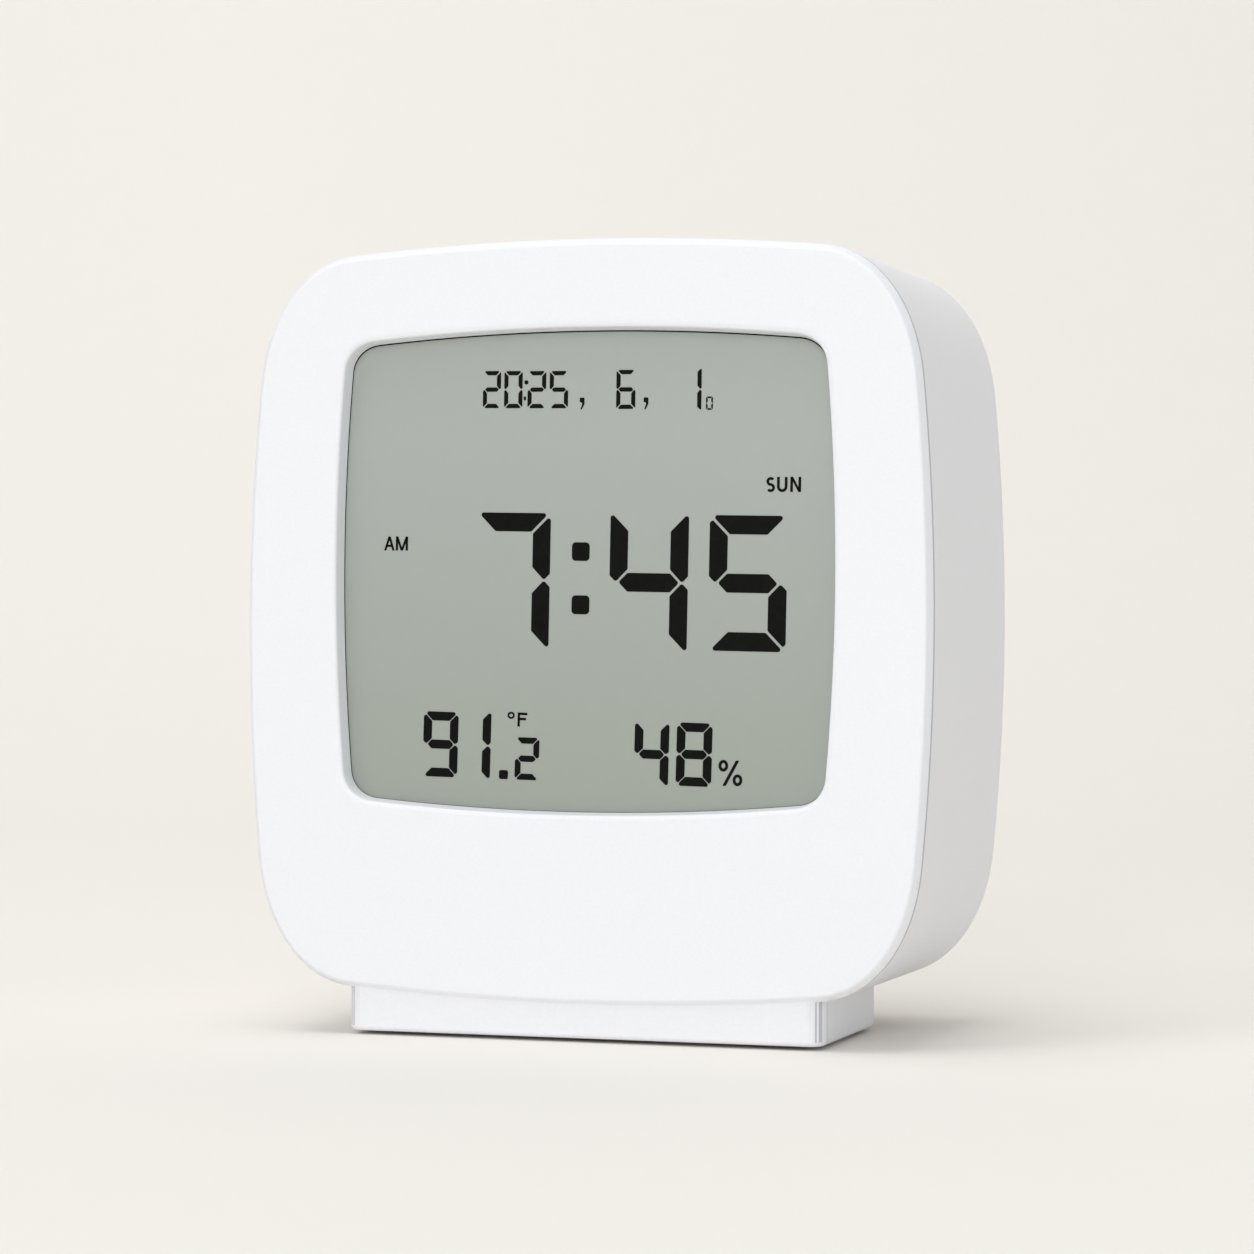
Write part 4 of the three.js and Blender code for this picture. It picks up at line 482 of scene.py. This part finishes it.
FINISHES = {
    # White plastic, with painted shade (205, 205, 206) multiplied into the parting groove
    "white_plastic": shade_painted_in_groove(
        finish_of("satin_white_plastic", (236, 237, 241), (239, 240, 244), 0.42, 2600, 0.000004),
        (205, 205, 206),
    ),
    "button_plastic": finish_of(
        "white_button_plastic", (232, 232, 235), (236, 236, 239), 0.36, 2600, 0.000004
    ),
    # Painted shade and light: the film's colour is darker towards the bottom and lighter towards the top
    "display_film": painted_shade_along(
        finish_of("display_film", (154, 160, 150), (167, 173, 168), 0.34, 900, 0.000002),
        (0, 0, 1), 0.029, 0.075, 0.12,
    ),
    "display_glass": finish_of(
        "pale_display_glass", (194, 202, 192), (204, 212, 202), 0.08, 300
    ),
    "reflector_film": finish_of(
        "silvery_reflector", (176, 176, 172), (192, 192, 188), 0.45, 1500, 0.000004, metallic=0.6
    ),
    "conductive_rubber": finish_of(
        "striped_rubber", (42, 42, 44), (76, 74, 74), 0.6, 1800, 0.00001, stretch=(1, 0.1, 0.1)
    ),
    "board_laminate": finish_of(
        "green_board_laminate", (24, 82, 46), (36, 100, 58), 0.38, 700, 0.000008
    ),
    "black_epoxy": finish_of("black_epoxy", (16, 16, 17), (26, 26, 28), 0.28, 500, 0.00002),
    "black_plastic": finish_of("black_plastic", (24, 24, 25), (34, 34, 35), 0.5, 1600, 0.00001),
    "ivory_plastic": finish_of("ivory_plastic", (224, 223, 216), (234, 233, 227), 0.45, 1400, 0.000008),
    "steel": finish_of(
        "zinc_plated_steel", (150, 150, 154), (182, 182, 186), 0.3, 900, 0.000006, metallic=1.0
    ),
    "nickel_plate": finish_of(
        "nickel_plate", (176, 172, 164), (200, 196, 188), 0.26, 700, 0.000006, metallic=1.0
    ),
    "cell_jacket": finish_of(
        "plain_cell_jacket", (54, 59, 65), (64, 69, 76), 0.3, 260, 0.000004, metallic=0.4
    ),
    "soft_rubber": finish_of(
        "grey_rubber_foot_pad", (128, 130, 133), (146, 148, 151), 0.8, 1600, 0.00002
    ),
    "red_wire": finish_of("red_wire_sleeve", (150, 22, 20), (176, 34, 30), 0.42, 1100, 0.00001),
    "black_wire": finish_of("black_wire_sleeve", (20, 20, 21), (34, 34, 36), 0.42, 1100, 0.00001),
    "grey_ribbon": finish_of(
        "grey_ribbon_cable", (128, 129, 132), (160, 161, 165), 0.5, 700, 0.00002, stretch=(1, 0.05, 0.05)
    ),
}
# Dark print of the digits and letters, also worn by the painted shadow along the window's rim
ink_and_painted_rim_shadow = finish_of(
    "display_ink_and_painted_rim_shadow", (12, 13, 11), (17, 18, 16), 0.45, 1200, Specular_IOR_Level=0.06
)

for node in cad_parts.values():
    slot = node.data.materials[0].name
    node.data.materials.clear()
    node.data.materials.append(FINISHES[slot])


# The two shells


def body_side(rows, inset=0.0):
    """Rings of the body's outline for rows of inset and depth, all drawn in by a further inset."""
    return [ring(body_outline, step + inset - SKIN_PROUD, depth) for step, depth in rows]


def parting_cutter(y, towards):
    """A band round the body that takes a quarter round off a shell's edge at depth y. Towards is 1 for the
    front shell's rear edge and -1 for the rear shell's front edge."""
    arc = quarter_round(PARTING_EDGE, 6) * [1, -towards] + [-SKIN_PROUD, y]
    beyond = y + towards * PAST_EDGE
    outside = [(-CUTTER_REACH, y - towards * PARTING_EDGE), (-CUTTER_REACH, beyond), (PARTING_EDGE, beyond)]
    return hoop_round(body_outline, np.vstack([arc, outside])[::towards])


def mask_painted_groove_shade(shell):
    """Sets the face value that masks the painted shade to 1 where the middle of a face lies in the parting
    groove round the body. Its reach is the larger of |x| / width and |z| / height, which is 0.5 at the middle
    of a side, a little less at the corners and more on the foot."""
    faces = shell.data.polygons
    middles = np.empty(len(faces) * 3)
    faces.foreach_get("center", middles)
    x, y, z = (middles.reshape(-1, 3) * 1000 - [0, face_y, centre_z]).T
    reach = np.maximum(np.abs(x) / BODY_WIDTH, np.abs(z) / BODY_HEIGHT)
    on_body = (reach > GROOVE_REACH[0]) & (reach < GROOVE_REACH[1])
    in_groove = (y > PARTING_DEPTH - PARTING_EDGE) & (y < RIM_DEPTH + PARTING_EDGE)
    value = shell.data.attributes.new("painted_groove_shade", "FLOAT", "FACE")
    value.data.foreach_set("value", (on_body & in_groove).astype(float))
    return shell


def front_edge_cutter():
    """A band round the body that leaves the eased front edge."""
    edge = eased_edge(**FRONT_EDGE)
    beyond = [(edge[0, 0], -BEFORE_FACE), (-CUTTER_REACH, -BEFORE_FACE), (-CUTTER_REACH, edge[-1, 1])]
    return hoop_round(body_outline, np.vstack([edge[::-1], beyond]) + EDGE_CUT_SHIFT)


def face_plate():
    """The body's outline drawn in along the eased front edge, then straight back to the parting line."""
    edge = eased_edge(**FRONT_EDGE)
    return loft(body_side(edge - [0, SKIN_PROUD]) + body_side([(0, PARTING_DEPTH + SKIN_PROUD)]))


def window_cutter():
    """The window's outline widened along the rows of its eased rim, from before the face to behind the
    film's front."""
    rim = eased_edge(**WINDOW_EDGE)
    middle = (0.0, WINDOW_RISE)
    return loft([
        ring(window_outline, -rim[0, 0] - SKIN_PROUD, -CUTTER_REACH, middle),
        *[ring(window_outline, -inset - SKIN_PROUD, depth - SKIN_PROUD, middle) for inset, depth in rim],
        ring(window_outline, -SKIN_PROUD, FILM_FRONT + 0.5, middle),
    ])


def make_front_shell():
    """The bezel's moulded inside with a finer face plate, foot front, parting edge and window."""
    foot = shaped("foot_front", add_mesh("foot_start", *foot_block(0, SKIN_PROUD)), [
        ("INTERSECT", block((-BODY_WIDTH, 0, -BODY_WIDTH), (BODY_WIDTH, FOOT_PARTING + SKIN_PROUD, 0))),
    ])
    shell = shaped("front_shell", merged_copy("front_bezel"), [
        ("DIFFERENCE", front_edge_cutter()),
        ("UNION", face_plate()),
        ("DIFFERENCE", parting_cutter(PARTING_DEPTH, 1)),
        ("UNION", foot),
        ("DIFFERENCE", window_cutter()),
    ])
    return fit(mask_painted_groove_shade(smooth(shell)), "case", "white_plastic", FINISHES["white_plastic"], "front_bezel")


def rear_skin():
    """A cup round the sides and rear: the outline drawn in along the rear fillet, as an inner and an outer
    surface a skin apart that meet at the rim."""
    inner = body_side(quarter_round(REAR_FILLET - SKIN, 10), SKIN)
    outer = body_side(quarter_round(REAR_FILLET, 16))
    rim_y = RIM_DEPTH - SKIN_PROUD
    return loft(
        [r * [1, -1, 1] + [0, BODY_DEPTH - SKIN, 0] for r in inner]
        + body_side([(0, rim_y)], SKIN) + body_side([(0, rim_y)])
        + [r * [1, -1, 1] + [0, BODY_DEPTH, 0] for r in outer[::-1]]
    )


def rear_foot():
    """A skin round the rear part of the foot, open towards the body's hollow."""
    behind = block(
        (-BODY_WIDTH, FOOT_REAR_START - SKIN_PROUD, -BODY_WIDTH), (BODY_WIDTH, BODY_DEPTH, 0)
    )
    hollow = loft([ring(body_outline, HOLLOW_INSET, y) for y in (-CUTTER_REACH, HOLLOW_END)])
    return shaped("foot_rear", add_mesh("foot_start", *foot_block(0, SKIN_PROUD)), [
        ("INTERSECT", behind), ("DIFFERENCE", foot_block(SKIN)), ("DIFFERENCE", hollow),
    ])


def front_of_foot():
    """The room of the foot's front part, which belongs to the other shell."""
    side = FOOT_WIDTH / 2 + FOOT_ROOM
    lowest = FOOT_BOTTOM - CUTTER_REACH
    return block((-side, -CUTTER_REACH, lowest), (side, FOOT_REAR_START, FOOT_TOP + FOOT_ROOM / 2))


def finger_scoop():
    """An ellipsoid as rings: at angle a its half sizes are sin a times those of its widest ring, and its
    depth is cos a times the scoop's."""
    half_width, half_depth, half_height = SCOOP
    angles = np.linspace(0, math.pi, 33)[1:-1]
    return loft([
        circle(1.0, 10)[:, [2, 2, 3]] * [math.sin(a) * half_width, 0, math.sin(a) * half_height]
        + [0, BODY_DEPTH + math.cos(a) * half_depth, SCOOP_Z] for a in angles[::-1]
    ])


def rear_openings():
    """Cutters for the button holes, screw wells, sound holes, vents, door recess, scoop and pad recesses."""
    width, height, corner = BUTTON_CAP
    hole = rounded_rectangle(width + 2 * BUTTON_GAP, height + 2 * BUTTON_GAP, corner + BUTTON_GAP)
    cutters = [
        mouth_cutter(hole, WALL_CUT, BODY_DEPTH, MOUTH_FLARE, (x, BUTTON_ROW_Z))
        for x in BUTTON_PLACES.values()
    ]
    cutters += [
        mouth_cutter(circle(WELL_RADIUS), WELL_BOTTOM, BODY_DEPTH, MOUTH_FLARE, place)
        for place in WELL_PLACES
    ]
    x, z, pitch, radius = SOUND_HOLES
    turns = np.arange(6) * math.pi / 3
    cutters += [
        mouth_cutter(circle(radius), WALL_CUT, BODY_DEPTH, SOUND_FLARE, place)
        for place in [(x, z), *zip(x + pitch * np.cos(turns), z + pitch * np.sin(turns))]
    ]
    x, z, width, height, pitch, count = VENTS
    vent = rounded_rectangle(width, height, height / 2)
    cutters += [
        mouth_cutter(vent, WALL_CUT, BODY_DEPTH, VENT_FLARE, (x, z + (i - (count - 1) / 2) * pitch))
        for i in range(count)
    ]
    recess = rounded_rectangle(DOOR_WIDTH + 2 * DOOR_GAP, DOOR_HEIGHT + 2 * DOOR_GAP, RECESS_CORNER)
    cutters.append(mouth_cutter(recess, LEDGE, BODY_DEPTH, MOUTH_FLARE, (0, DOOR_Z)))
    cutters.append(finger_scoop())
    wide = PAD_RADIUS + PAD_CLEARANCE
    pad_recess = [(wide, FOOT_BOTTOM - CUTTER_REACH), (wide, FOOT_BOTTOM + PAD_RECESS)]
    cutters += [stood_up(*turned(pad_recess, pad_middle(name))) for name in PAD_NAMES]
    return cutters


def make_rear_shell():
    """The housing's moulded inside with a finer skin and foot, and its openings cut again with rounded
    mouths."""
    shell = shaped("rear_shell", merged_copy("rear_housing"), [
        ("UNION", rear_skin()),
        ("DIFFERENCE", parting_cutter(RIM_DEPTH, -1)),
        ("DIFFERENCE", front_of_foot()),
        ("UNION", rear_foot()),
        *[("DIFFERENCE", opening) for opening in rear_openings()],
    ])
    return fit(mask_painted_groove_shade(smooth(shell)), "case", "white_plastic", FINISHES["white_plastic"], "rear_housing")


# Push buttons and foot pads


def make_button(key, x):
    """A button from its dish down to its flange. Where the dish's ring is drawn in by d past the edge, it
    lies BUTTON_DISH * sin(d / DISH_RUN * 90 degrees) ** 2 under the top."""
    cap, flange = rounded_rectangle(*BUTTON_CAP), rounded_rectangle(*BUTTON_FLANGE)
    middle = (x, BUTTON_ROW_Z)
    dish = [
        ring(cap, BUTTON_EDGE + drawn,
             BUTTON_TOP - BUTTON_DISH * math.sin(drawn / DISH_RUN * math.pi / 2) ** 2, middle)
        for drawn in np.linspace(DISH_RUN, 0.1, 8)
    ]
    edge = [ring(cap, inset, BUTTON_TOP - depth, middle) for inset, depth in quarter_round(BUTTON_EDGE)]
    foot = [
        ring(cap, 0, FLANGE_TOP, middle),
        ring(flange, 0, FLANGE_TOP, middle),
        ring(flange, 0, FLANGE_BOTTOM, middle),
    ]
    button = add_mesh(key + "_cap", *loft((dish + edge + foot)[::-1]))
    return fit(smooth(button), key + "_key", "button_plastic", FINISHES["button_plastic"], key + "_button")


def make_pad(name):
    """A disc whose lower edge is drawn in by a quarter round."""
    low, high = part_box(name)
    bottom, top = low.z * 1000 - centre_z, high.z * 1000 - centre_z
    profile = [(PAD_RADIUS - inset, bottom + depth) for inset, depth in quarter_round(PAD_EDGE, 5)]
    disc = stood_up(*turned([*profile, (PAD_RADIUS, top)], pad_middle(name), 20))
    pad = add_mesh(name + "_disc", *disc)
    return fit(smooth(pad), "case", "soft_rubber", FINISHES["soft_rubber"], name)


# The display: dark digits and letters that show on the front film, and a painted shadow along the window's
# rim


def seven_segments(width, height, stroke, gap, shoulder, lit):
    """The lit ones of seven bars as outlines about the digit's middle. a is the top bar, then clockwise b,
    c, d, e and f, and g is the middle bar. Ends are cut at 45 degrees. An upright ends a gap short of a
    lit bar, where its outer corner may be cut back by the shoulder, and else runs on past the height by
    the free tip."""
    x, z, s, g = width / 2, height / 2, stroke, gap / math.sqrt(2)
    tip, waist = WAIST_TIP * s, WAIST_GAP * gap
    top = [(-x + g, z), (x - g, z), (x - s - g, z - s), (-x + s + g, z - s)]
    middle = [
        (x - s, s / 2), (x - s / 2, 0), (x - s, -s / 2),
        (s - x, -s / 2), (s / 2 - x, 0), (s - x, s / 2),
    ]

    def upright(neighbour):
        drop, cut = (g, shoulder * s) if neighbour in lit else (-FREE_TIP, 0)
        outline = [
            (x - cut / 2, z - drop - cut / 2), (x - s, z - s - drop), (x - s, s / 2 + 2 * g),
            (x - tip, waist), (x, waist + tip),
        ]
        return outline + [(x, z - drop - cut)] * (cut > 0)

    bars = {
        "a": (top, 1, 1), "b": (upright("a"), 1, 1), "c": (upright("d"), 1, -1), "d": (top, 1, -1),
        "e": (upright("d"), -1, -1), "f": (upright("a"), -1, 1), "g": (middle, 1, 1),
    }
    return [np.array(bars[bar][0], float) * bars[bar][1:] for bar in lit]


DIGITS = {
    "0": "abcdef", "1": "bc", "2": "abged", "4": "fgbc", "5": "afgcd", "6": "afgedc", "7": "abc",
    "8": "abcdefg", "9": "abcdfg",
}


def softened(outline, radius, steps=5):
    """An outline whose corners become arcs that touch both edges. A corner of angle 2 h is left at
    r / tan h from it, no further than 0.45 of either edge, and the arc's middle lies r / sin h from it on
    the halving line."""
    before, after = np.roll(outline, 1, 0) - outline, np.roll(outline, -1, 0) - outline
    lengths = np.stack([np.linalg.norm(before, axis=1), np.linalg.norm(after, axis=1)], 1)
    before, after = before / lengths[:, :1], after / lengths[:, 1:]
    half = np.arccos(np.clip((before * after).sum(1), -1, 1)) / 2
    reach = np.minimum(radius / np.tan(half), 0.45 * lengths.min(1))
    size = (reach * np.tan(half))[:, None]
    centre = outline + (before + after) / (2 * np.cos(half)[:, None]) * size / np.sin(half)[:, None]
    start = (outline + before * reach[:, None] - centre) / size
    end = (outline + after * reach[:, None] - centre) / size
    sweep, t = (math.pi - 2 * half)[:, None, None], np.linspace(0, 1, steps + 1)[None, :, None]
    arc = (np.sin((1 - t) * sweep) * start[:, None] + np.sin(t * sweep) * end[:, None]) / np.sin(sweep)
    return (centre[:, None] + arc * size[:, None]).reshape(-1, 2)


def ribbon(path, width):
    """A band along a path, as one outline: the path moved half the width to its left, then back on its
    right."""
    along = np.gradient(path, axis=0)
    along /= np.linalg.norm(along, axis=1)[:, None]
    side = np.stack([-along[:, 1], along[:, 0]], 1) * width / 2
    return np.vstack([path + side, (path - side)[::-1]])


def arc_path(middle, radii, start, end, steps=20):
    """Points of an ellipse about a middle, from one angle in degrees to another."""
    angle = np.radians(np.linspace(start, end, steps + 1))
    return np.stack([middle[0] + radii[0] * np.cos(angle), middle[1] + radii[1] * np.sin(angle)], 1)


def hoop(middle, radii, width):
    """A closed band about a middle, as two halves."""
    return [ribbon(arc_path(middle, radii, turn, turn + 180), width) for turn in (0, 180)]


def beam(x0, z0, x1, z1, width):
    """A bar between two heights whose ends are cut level, of the given width across."""
    return np.array([(x0, z0), (x0 + width, z0), (x1 + width, z1), (x1, z1)], float)


def slat(x0, x1, z, width):
    """A level bar from x0 to x1 that is width high."""
    return np.array([(x0, z), (x1, z), (x1, z + width), (x0, z + width)], float)


def letter(name, width, height, stroke):
    """The bars and bands of one plain letter or sign, from its lower left corner. Any other name is a
    block whose corners are rounded by the stroke."""
    w, h, t = width, height, stroke
    stems = [beam(0, 0, 0, h, t), beam(w - t, 0, w - t, h, t)]
    if name == "A":
        legs = [beam(0, 0, (w - t) / 2, h, t), beam(w - t, 0, (w - t) / 2, h, t)]
        return legs + [slat(w * 0.2, w * 0.8, h * 0.26, t * 0.9)]
    if name == "M":
        return stems + [beam(0, h, (w - t) / 2, 0, t), beam(w - t, h, (w - t) / 2, 0, t)]
    if name == "N":
        return stems + [beam(0, h, w - t, 0, t)]
    if name == "F":
        return [stems[0], slat(0, w, h - t, t), slat(0, w * 0.88, h * 0.46, t)]
    if name == "U":
        bowl = arc_path((w / 2, w / 2), ((w - t) / 2, (w - t) / 2), 180, 360)
        return [ribbon(np.vstack([[t / 2, h], bowl, [w - t / 2, h]]), t)]
    if name == "S":
        rise = (h - t) / 4
        upper = arc_path((w / 2, h - t / 2 - rise), ((w - t) / 2, rise), 35, 270)
        lower = arc_path((w / 2, t / 2 + rise), ((w - t) / 2, rise), 90, -145)
        return [ribbon(np.vstack([upper[:-1], lower]), t)]
    if name == "degree":
        return hoop((w / 2, h / 2), ((w - t) / 2, (h - t) / 2), t)
    if name == "percent":
        radii = (w * 0.2 - t / 2, h * 0.23 - t / 2)
        rings = [(w * 0.19, h * 0.78), (w * 0.79, h * 0.235)]
        slash = beam(w * 0.175, 0, w * 0.7, h, t * 1.15)
        return [part for place in rings for part in hoop(place, radii, t)] + [slash]
    if name == "comma":
        tail = [(1, 0.45), (0.45, 0.02), (0.14, 0), (0.5, 0.42), (0.5, 0.6), (0, 0.6)]
        return [softened(np.array([(0, 1), (1, 1), *tail]) * [w, h], w * 0.18)]
    return [softened(slat(0, w, 0, h), stroke)]


def put(outlines, turn, x, z):
    """Outlines turned by degrees about their own frame's origin and moved to a place."""
    c, s = math.cos(math.radians(turn)), math.sin(math.radians(turn))
    return [outline @ np.array([[c, s], [-s, c]]) + [x, z] for outline in outlines]


def make_ink(name, outlines):
    """Thin plates with the given outlines in one mesh, half sunk in the film's front."""
    points, faces, count = [], [], 0
    for outline in outlines:
        x, z = outline.T
        area = np.sum(x * np.roll(z, -1) - z * np.roll(x, -1))
        loop = outline if area > 0 else outline[::-1]
        plate, sides = loft([np.insert(loop, 1, y, axis=1) for y in (INK_FRONT, INK_BACK)])
        points.append(plate)
        faces += [[number + count for number in side] for side in sides]
        count += len(plate)
    return fit(add_mesh(name, np.vstack(points), faces), "case", "display_film", ink_and_painted_rim_shadow)


# Groups of signs on the display, each with its turn in degrees. A digit has its number, middle x and z,
# width, height, stroke, gap and shoulder. A letter or dot has its name, lower left x and z, width, height
# and stroke, or for a dot its corner radius.
DISPLAY_GROUPS = {
    "date_digits": (-0.6, [
        ("2", -12.64, 29.38, 2.39, 4.69, 0.54, 0.15, 0.2), ("0", -9.77, 29.34, 2.44, 4.69, 0.54, 0.15, 0.2),
        ("2", -6.64, 29.29, 2.45, 4.69, 0.54, 0.15, 0.2), ("5", -3.71, 29.25, 2.45, 4.69, 0.54, 0.15, 0.2),
        ("6", 5.13, 29.15, 2.50, 4.89, 0.54, 0.15, 0.2), ("1", 13.75, 29.05, 2.50, 4.80, 0.54, 0.15, 0),
        ("0", 16.03, 27.29, 0.90, 1.66, 0.22, 0.07, 0.2),
    ], [
        ("dot", -8.31, 29.96, 0.54, 0.54, 0.26), ("dot", -8.39, 27.95, 0.30, 0.50, 0.1),
        ("comma", -0.95, 26.70, 0.62, 1.50, 0), ("comma", 7.45, 26.62, 0.62, 1.50, 0),
    ]),
    "weekday_letters": (-0.7, [], [
        ("S", 23.41, 16.18, 1.10, 1.87, 0.34), ("U", 24.77, 16.18, 1.34, 1.87, 0.35),
        ("N", 26.47, 16.18, 1.38, 1.87, 0.34),
    ]),
    "morning_letters": (-0.9, [], [
        ("A", -27.14, 9.04, 1.44, 1.78, 0.31), ("M", -25.55, 9.04, 1.65, 1.78, 0.31),
    ]),
    "time_digits": (-0.91, [
        ("7", -9.78, 5.31, 9.94, 16.92, 2.35, 0.34, 0), ("4", 8.21, 4.96, 10.26, 16.95, 2.35, 0.34, 0),
        ("5", 21.07, 4.86, 10.04, 16.86, 2.35, 0.34, 0.3),
    ], [("dot", -1.90, 7.70, 2.34, 2.33, 0.5), ("dot", -1.92, 0.99, 2.35, 2.37, 0.5)]),
    "temperature_digits": (-1.41, [
        ("9", -19.34, -15.61, 4.69, 8.27, 1.13, 0.11, 0.5), ("1", -14.94, -15.67, 4.70, 8.28, 1.13, 0.11, 0),
        ("2", -7.73, -17.29, 3.20, 5.36, 0.78, 0.11, 0.4),
    ], [
        ("dot", -11.47, -19.89, 1.20, 1.14, 0.25), ("degree", -10.36, -12.27, 0.96, 0.9, 0.24),
        ("F", -9.02, -13.24, 1.27, 1.78, 0.31),
    ]),
    "humidity_digits": (-1.41, [
        ("4", 8.7, -16.50, 4.51, 7.65, 1.13, 0.11, 0), ("8", 14.25, -16.46, 4.62, 7.90, 1.13, 0.11, 0.5),
    ], [("percent", 17.39, -20.25, 3.13, 3.18, 0.38)]),
}


def make_painted_rim_shadow():
    """Painted shadow: a thin dark band along the window's outline, a little left and down of it, where the
    window's wall shades the film.
    """
    inner, outer = max(RIM_SHADOW_BAND), min(RIM_SHADOW_BAND)
    section = [(inner, INK_FRONT), (outer, INK_FRONT), (outer, INK_BACK), (inner, INK_BACK)]
    middle = (-RIM_SHADOW_SHIFT, WINDOW_RISE - RIM_SHADOW_SHIFT)
    border = hoop_round(window_outline, section, middle)
    return fit(add_mesh("painted_rim_shadow", *border), "case", "display_film", ink_and_painted_rim_shadow)


def make_signs():
    """One ink piece for each group of digits and letters."""
    for name, (turn, digits, signs) in DISPLAY_GROUPS.items():
        marks = []
        for digit, x, z, width, height, stroke, gap, shoulder in digits:
            bars = seven_segments(width, height, stroke, gap, shoulder, DIGITS[digit])
            corner = min(BAR_CORNER_LIMIT, stroke * BAR_CORNER)
            marks += put([softened(bar, corner) for bar in bars], turn, x, z)
        for sign, x, z, width, height, stroke in signs:
            marks += put(letter(sign, width, height, stroke), turn, x, z)
        make_ink(name, marks)


body_outline = barrel_outline(**BODY_OUTLINE_SIZES)
window_outline = barrel_outline(**WINDOW_OUTLINE_SIZES)
make_front_shell()
make_rear_shell()
for key, place in BUTTON_PLACES.items():
    make_button(key, place)
for pad_name in PAD_NAMES:
    make_pad(pad_name)
make_painted_rim_shadow()
make_signs()
for name in ("battery_door", "main_board", "rear_board", "controller_chip", "upper_cell", "lower_cell"):
    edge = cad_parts[name].modifiers.new("edge", "BEVEL")
    edge.width, edge.segments = PLAIN_EDGE / 1000, 2
    edge.limit_method, edge.angle_limit = "ANGLE", math.radians(PLAIN_EDGE_ANGLE)


# Table, room, lamps and camera, in metres

TABLE_HALF_WIDTH = 2.5
TABLE_FRONT = -3.0
BEND_START = 0.4
BEND_RADIUS = 0.9
WALL_TOP = 3.0
LAMP_AIM = (0, 0, 0.05)
IMAGE_SIZE = 1254
FOCAL_LENGTH_IN_PIXELS = 3846.6
SENSOR_WIDTH = 36
CAMERA_PLACE = placed((149.22, -457.09, -0.965))
CAMERA_TURN = math.radians(17.371)
CAMERA_PITCH = math.radians(-0.043)
CAMERA_ROLL = math.radians(0.27)


def make_table():
    """A table top that bends up into a wall by a quarter circle."""
    turn = np.linspace(0, math.pi / 2, 25)
    bend = np.stack([BEND_START + BEND_RADIUS * np.sin(turn), BEND_RADIUS - BEND_RADIUS * np.cos(turn)], 1)
    line = np.vstack([[[TABLE_FRONT, 0.0]], bend, [[BEND_START + BEND_RADIUS, WALL_TOP]]])
    rows = np.array([[(x, y, z) for x in (-TABLE_HALF_WIDTH, TABLE_HALF_WIDTH)] for y, z in line])
    quads = [(2 * i, 2 * i + 1, 2 * i + 3, 2 * i + 2) for i in range(len(line) - 1)]
    table = bpy.data.meshes.new("table_sweep")
    table.from_pydata(rows.reshape(-1, 3).tolist(), [], quads)
    table.shade_smooth()
    sweep = bpy.data.objects.new("table_sweep", table)
    bpy.context.scene.collection.objects.link(sweep)
    paper = finish_of(
        "warm_white_paper", (240, 236, 230), (231, 227, 221), 0.8, 60, 0.000004, Specular_IOR_Level=0.2
    )
    # Painted shade: the paper grows darker towards the right, where less light falls
    table.materials.append(painted_shade_along(paper, (0.88, 0.474, 0), 0.05, 0.55, 0.1))


def make_lamp(name, place, size, power, shade=(1, 1, 1)):
    """A round lamp of a size in metres and a power in watts that points at the clock."""
    light = bpy.data.lights.new(name, "AREA")
    light.shape, light.size, light.energy, light.color = "DISK", size, power, shade
    obj = bpy.data.objects.new(name, light)
    bpy.context.scene.collection.objects.link(obj)
    obj.location = place
    obj.rotation_euler = (Vector(LAMP_AIM) - Vector(place)).to_track_quat("-Z", "Y").to_euler()


def make_room():
    """Dim cool light from all round, and a warm white that only the camera sees behind the table."""
    sky = bpy.data.worlds.new("soft_room")
    bpy.context.scene.world = sky
    sky.use_nodes = True
    tree = sky.node_tree
    room = tree.nodes["Background"]
    room.inputs["Color"].default_value = (0.94, 0.97, 1.0, 1)
    room.inputs["Strength"].default_value = 0.43
    wall = tree.nodes.new("ShaderNodeBackground")
    wall.inputs["Color"].default_value = (*linear((243, 240, 234)), 1)
    seen = tree.nodes.new("ShaderNodeLightPath")
    choice = tree.nodes.new("ShaderNodeMixShader")
    tree.links.new(seen.outputs["Is Camera Ray"], choice.inputs["Fac"])
    tree.links.new(room.outputs["Background"], choice.inputs[1])
    tree.links.new(wall.outputs["Background"], choice.inputs[2])
    tree.links.new(choice.outputs["Shader"], tree.nodes["World Output"].inputs["Surface"])


def make_camera():
    """The camera, turned about the upright, then pitched, then rolled about its own line of sight."""
    lens = bpy.data.cameras.new("view")
    lens.lens = FOCAL_LENGTH_IN_PIXELS / IMAGE_SIZE * SENSOR_WIDTH
    lens.sensor_width, lens.clip_start = SENSOR_WIDTH, 0.01
    camera = bpy.data.objects.new("view", lens)
    bpy.context.scene.collection.objects.link(camera)
    c, s = math.cos(CAMERA_TURN), math.sin(CAMERA_TURN)
    cp, sp = math.cos(CAMERA_PITCH), math.sin(CAMERA_PITCH)
    cr, sr = math.cos(CAMERA_ROLL), math.sin(CAMERA_ROLL)
    right, ahead, up = Vector((c, s, 0)), Vector((-s * cp, c * cp, -sp)), Vector((-s * sp, c * sp, cp))
    axes = Matrix((cr * right + sr * up, -sr * right + cr * up, -ahead)).transposed()
    camera.matrix_world = Matrix.Translation(Vector(CAMERA_PLACE)) @ axes.to_4x4()
    bpy.context.scene.camera = camera


make_table()
make_lamp("upper_left_softbox", (-1.5, -2.0, 2.2), 1.6, 13)
make_lamp("front_fill", (0.2, -3.0, 1.0), 2.0, 31)
make_lamp("right_fill", (2.4, -1.0, 1.2), 1.8, 4, (0.9, 0.96, 1.0))
make_lamp("top_softbox", (-0.3, -0.4, 2.8), 2.0, 31)
make_room()
make_camera()
bpy.context.scene.view_settings.view_transform = "Standard"
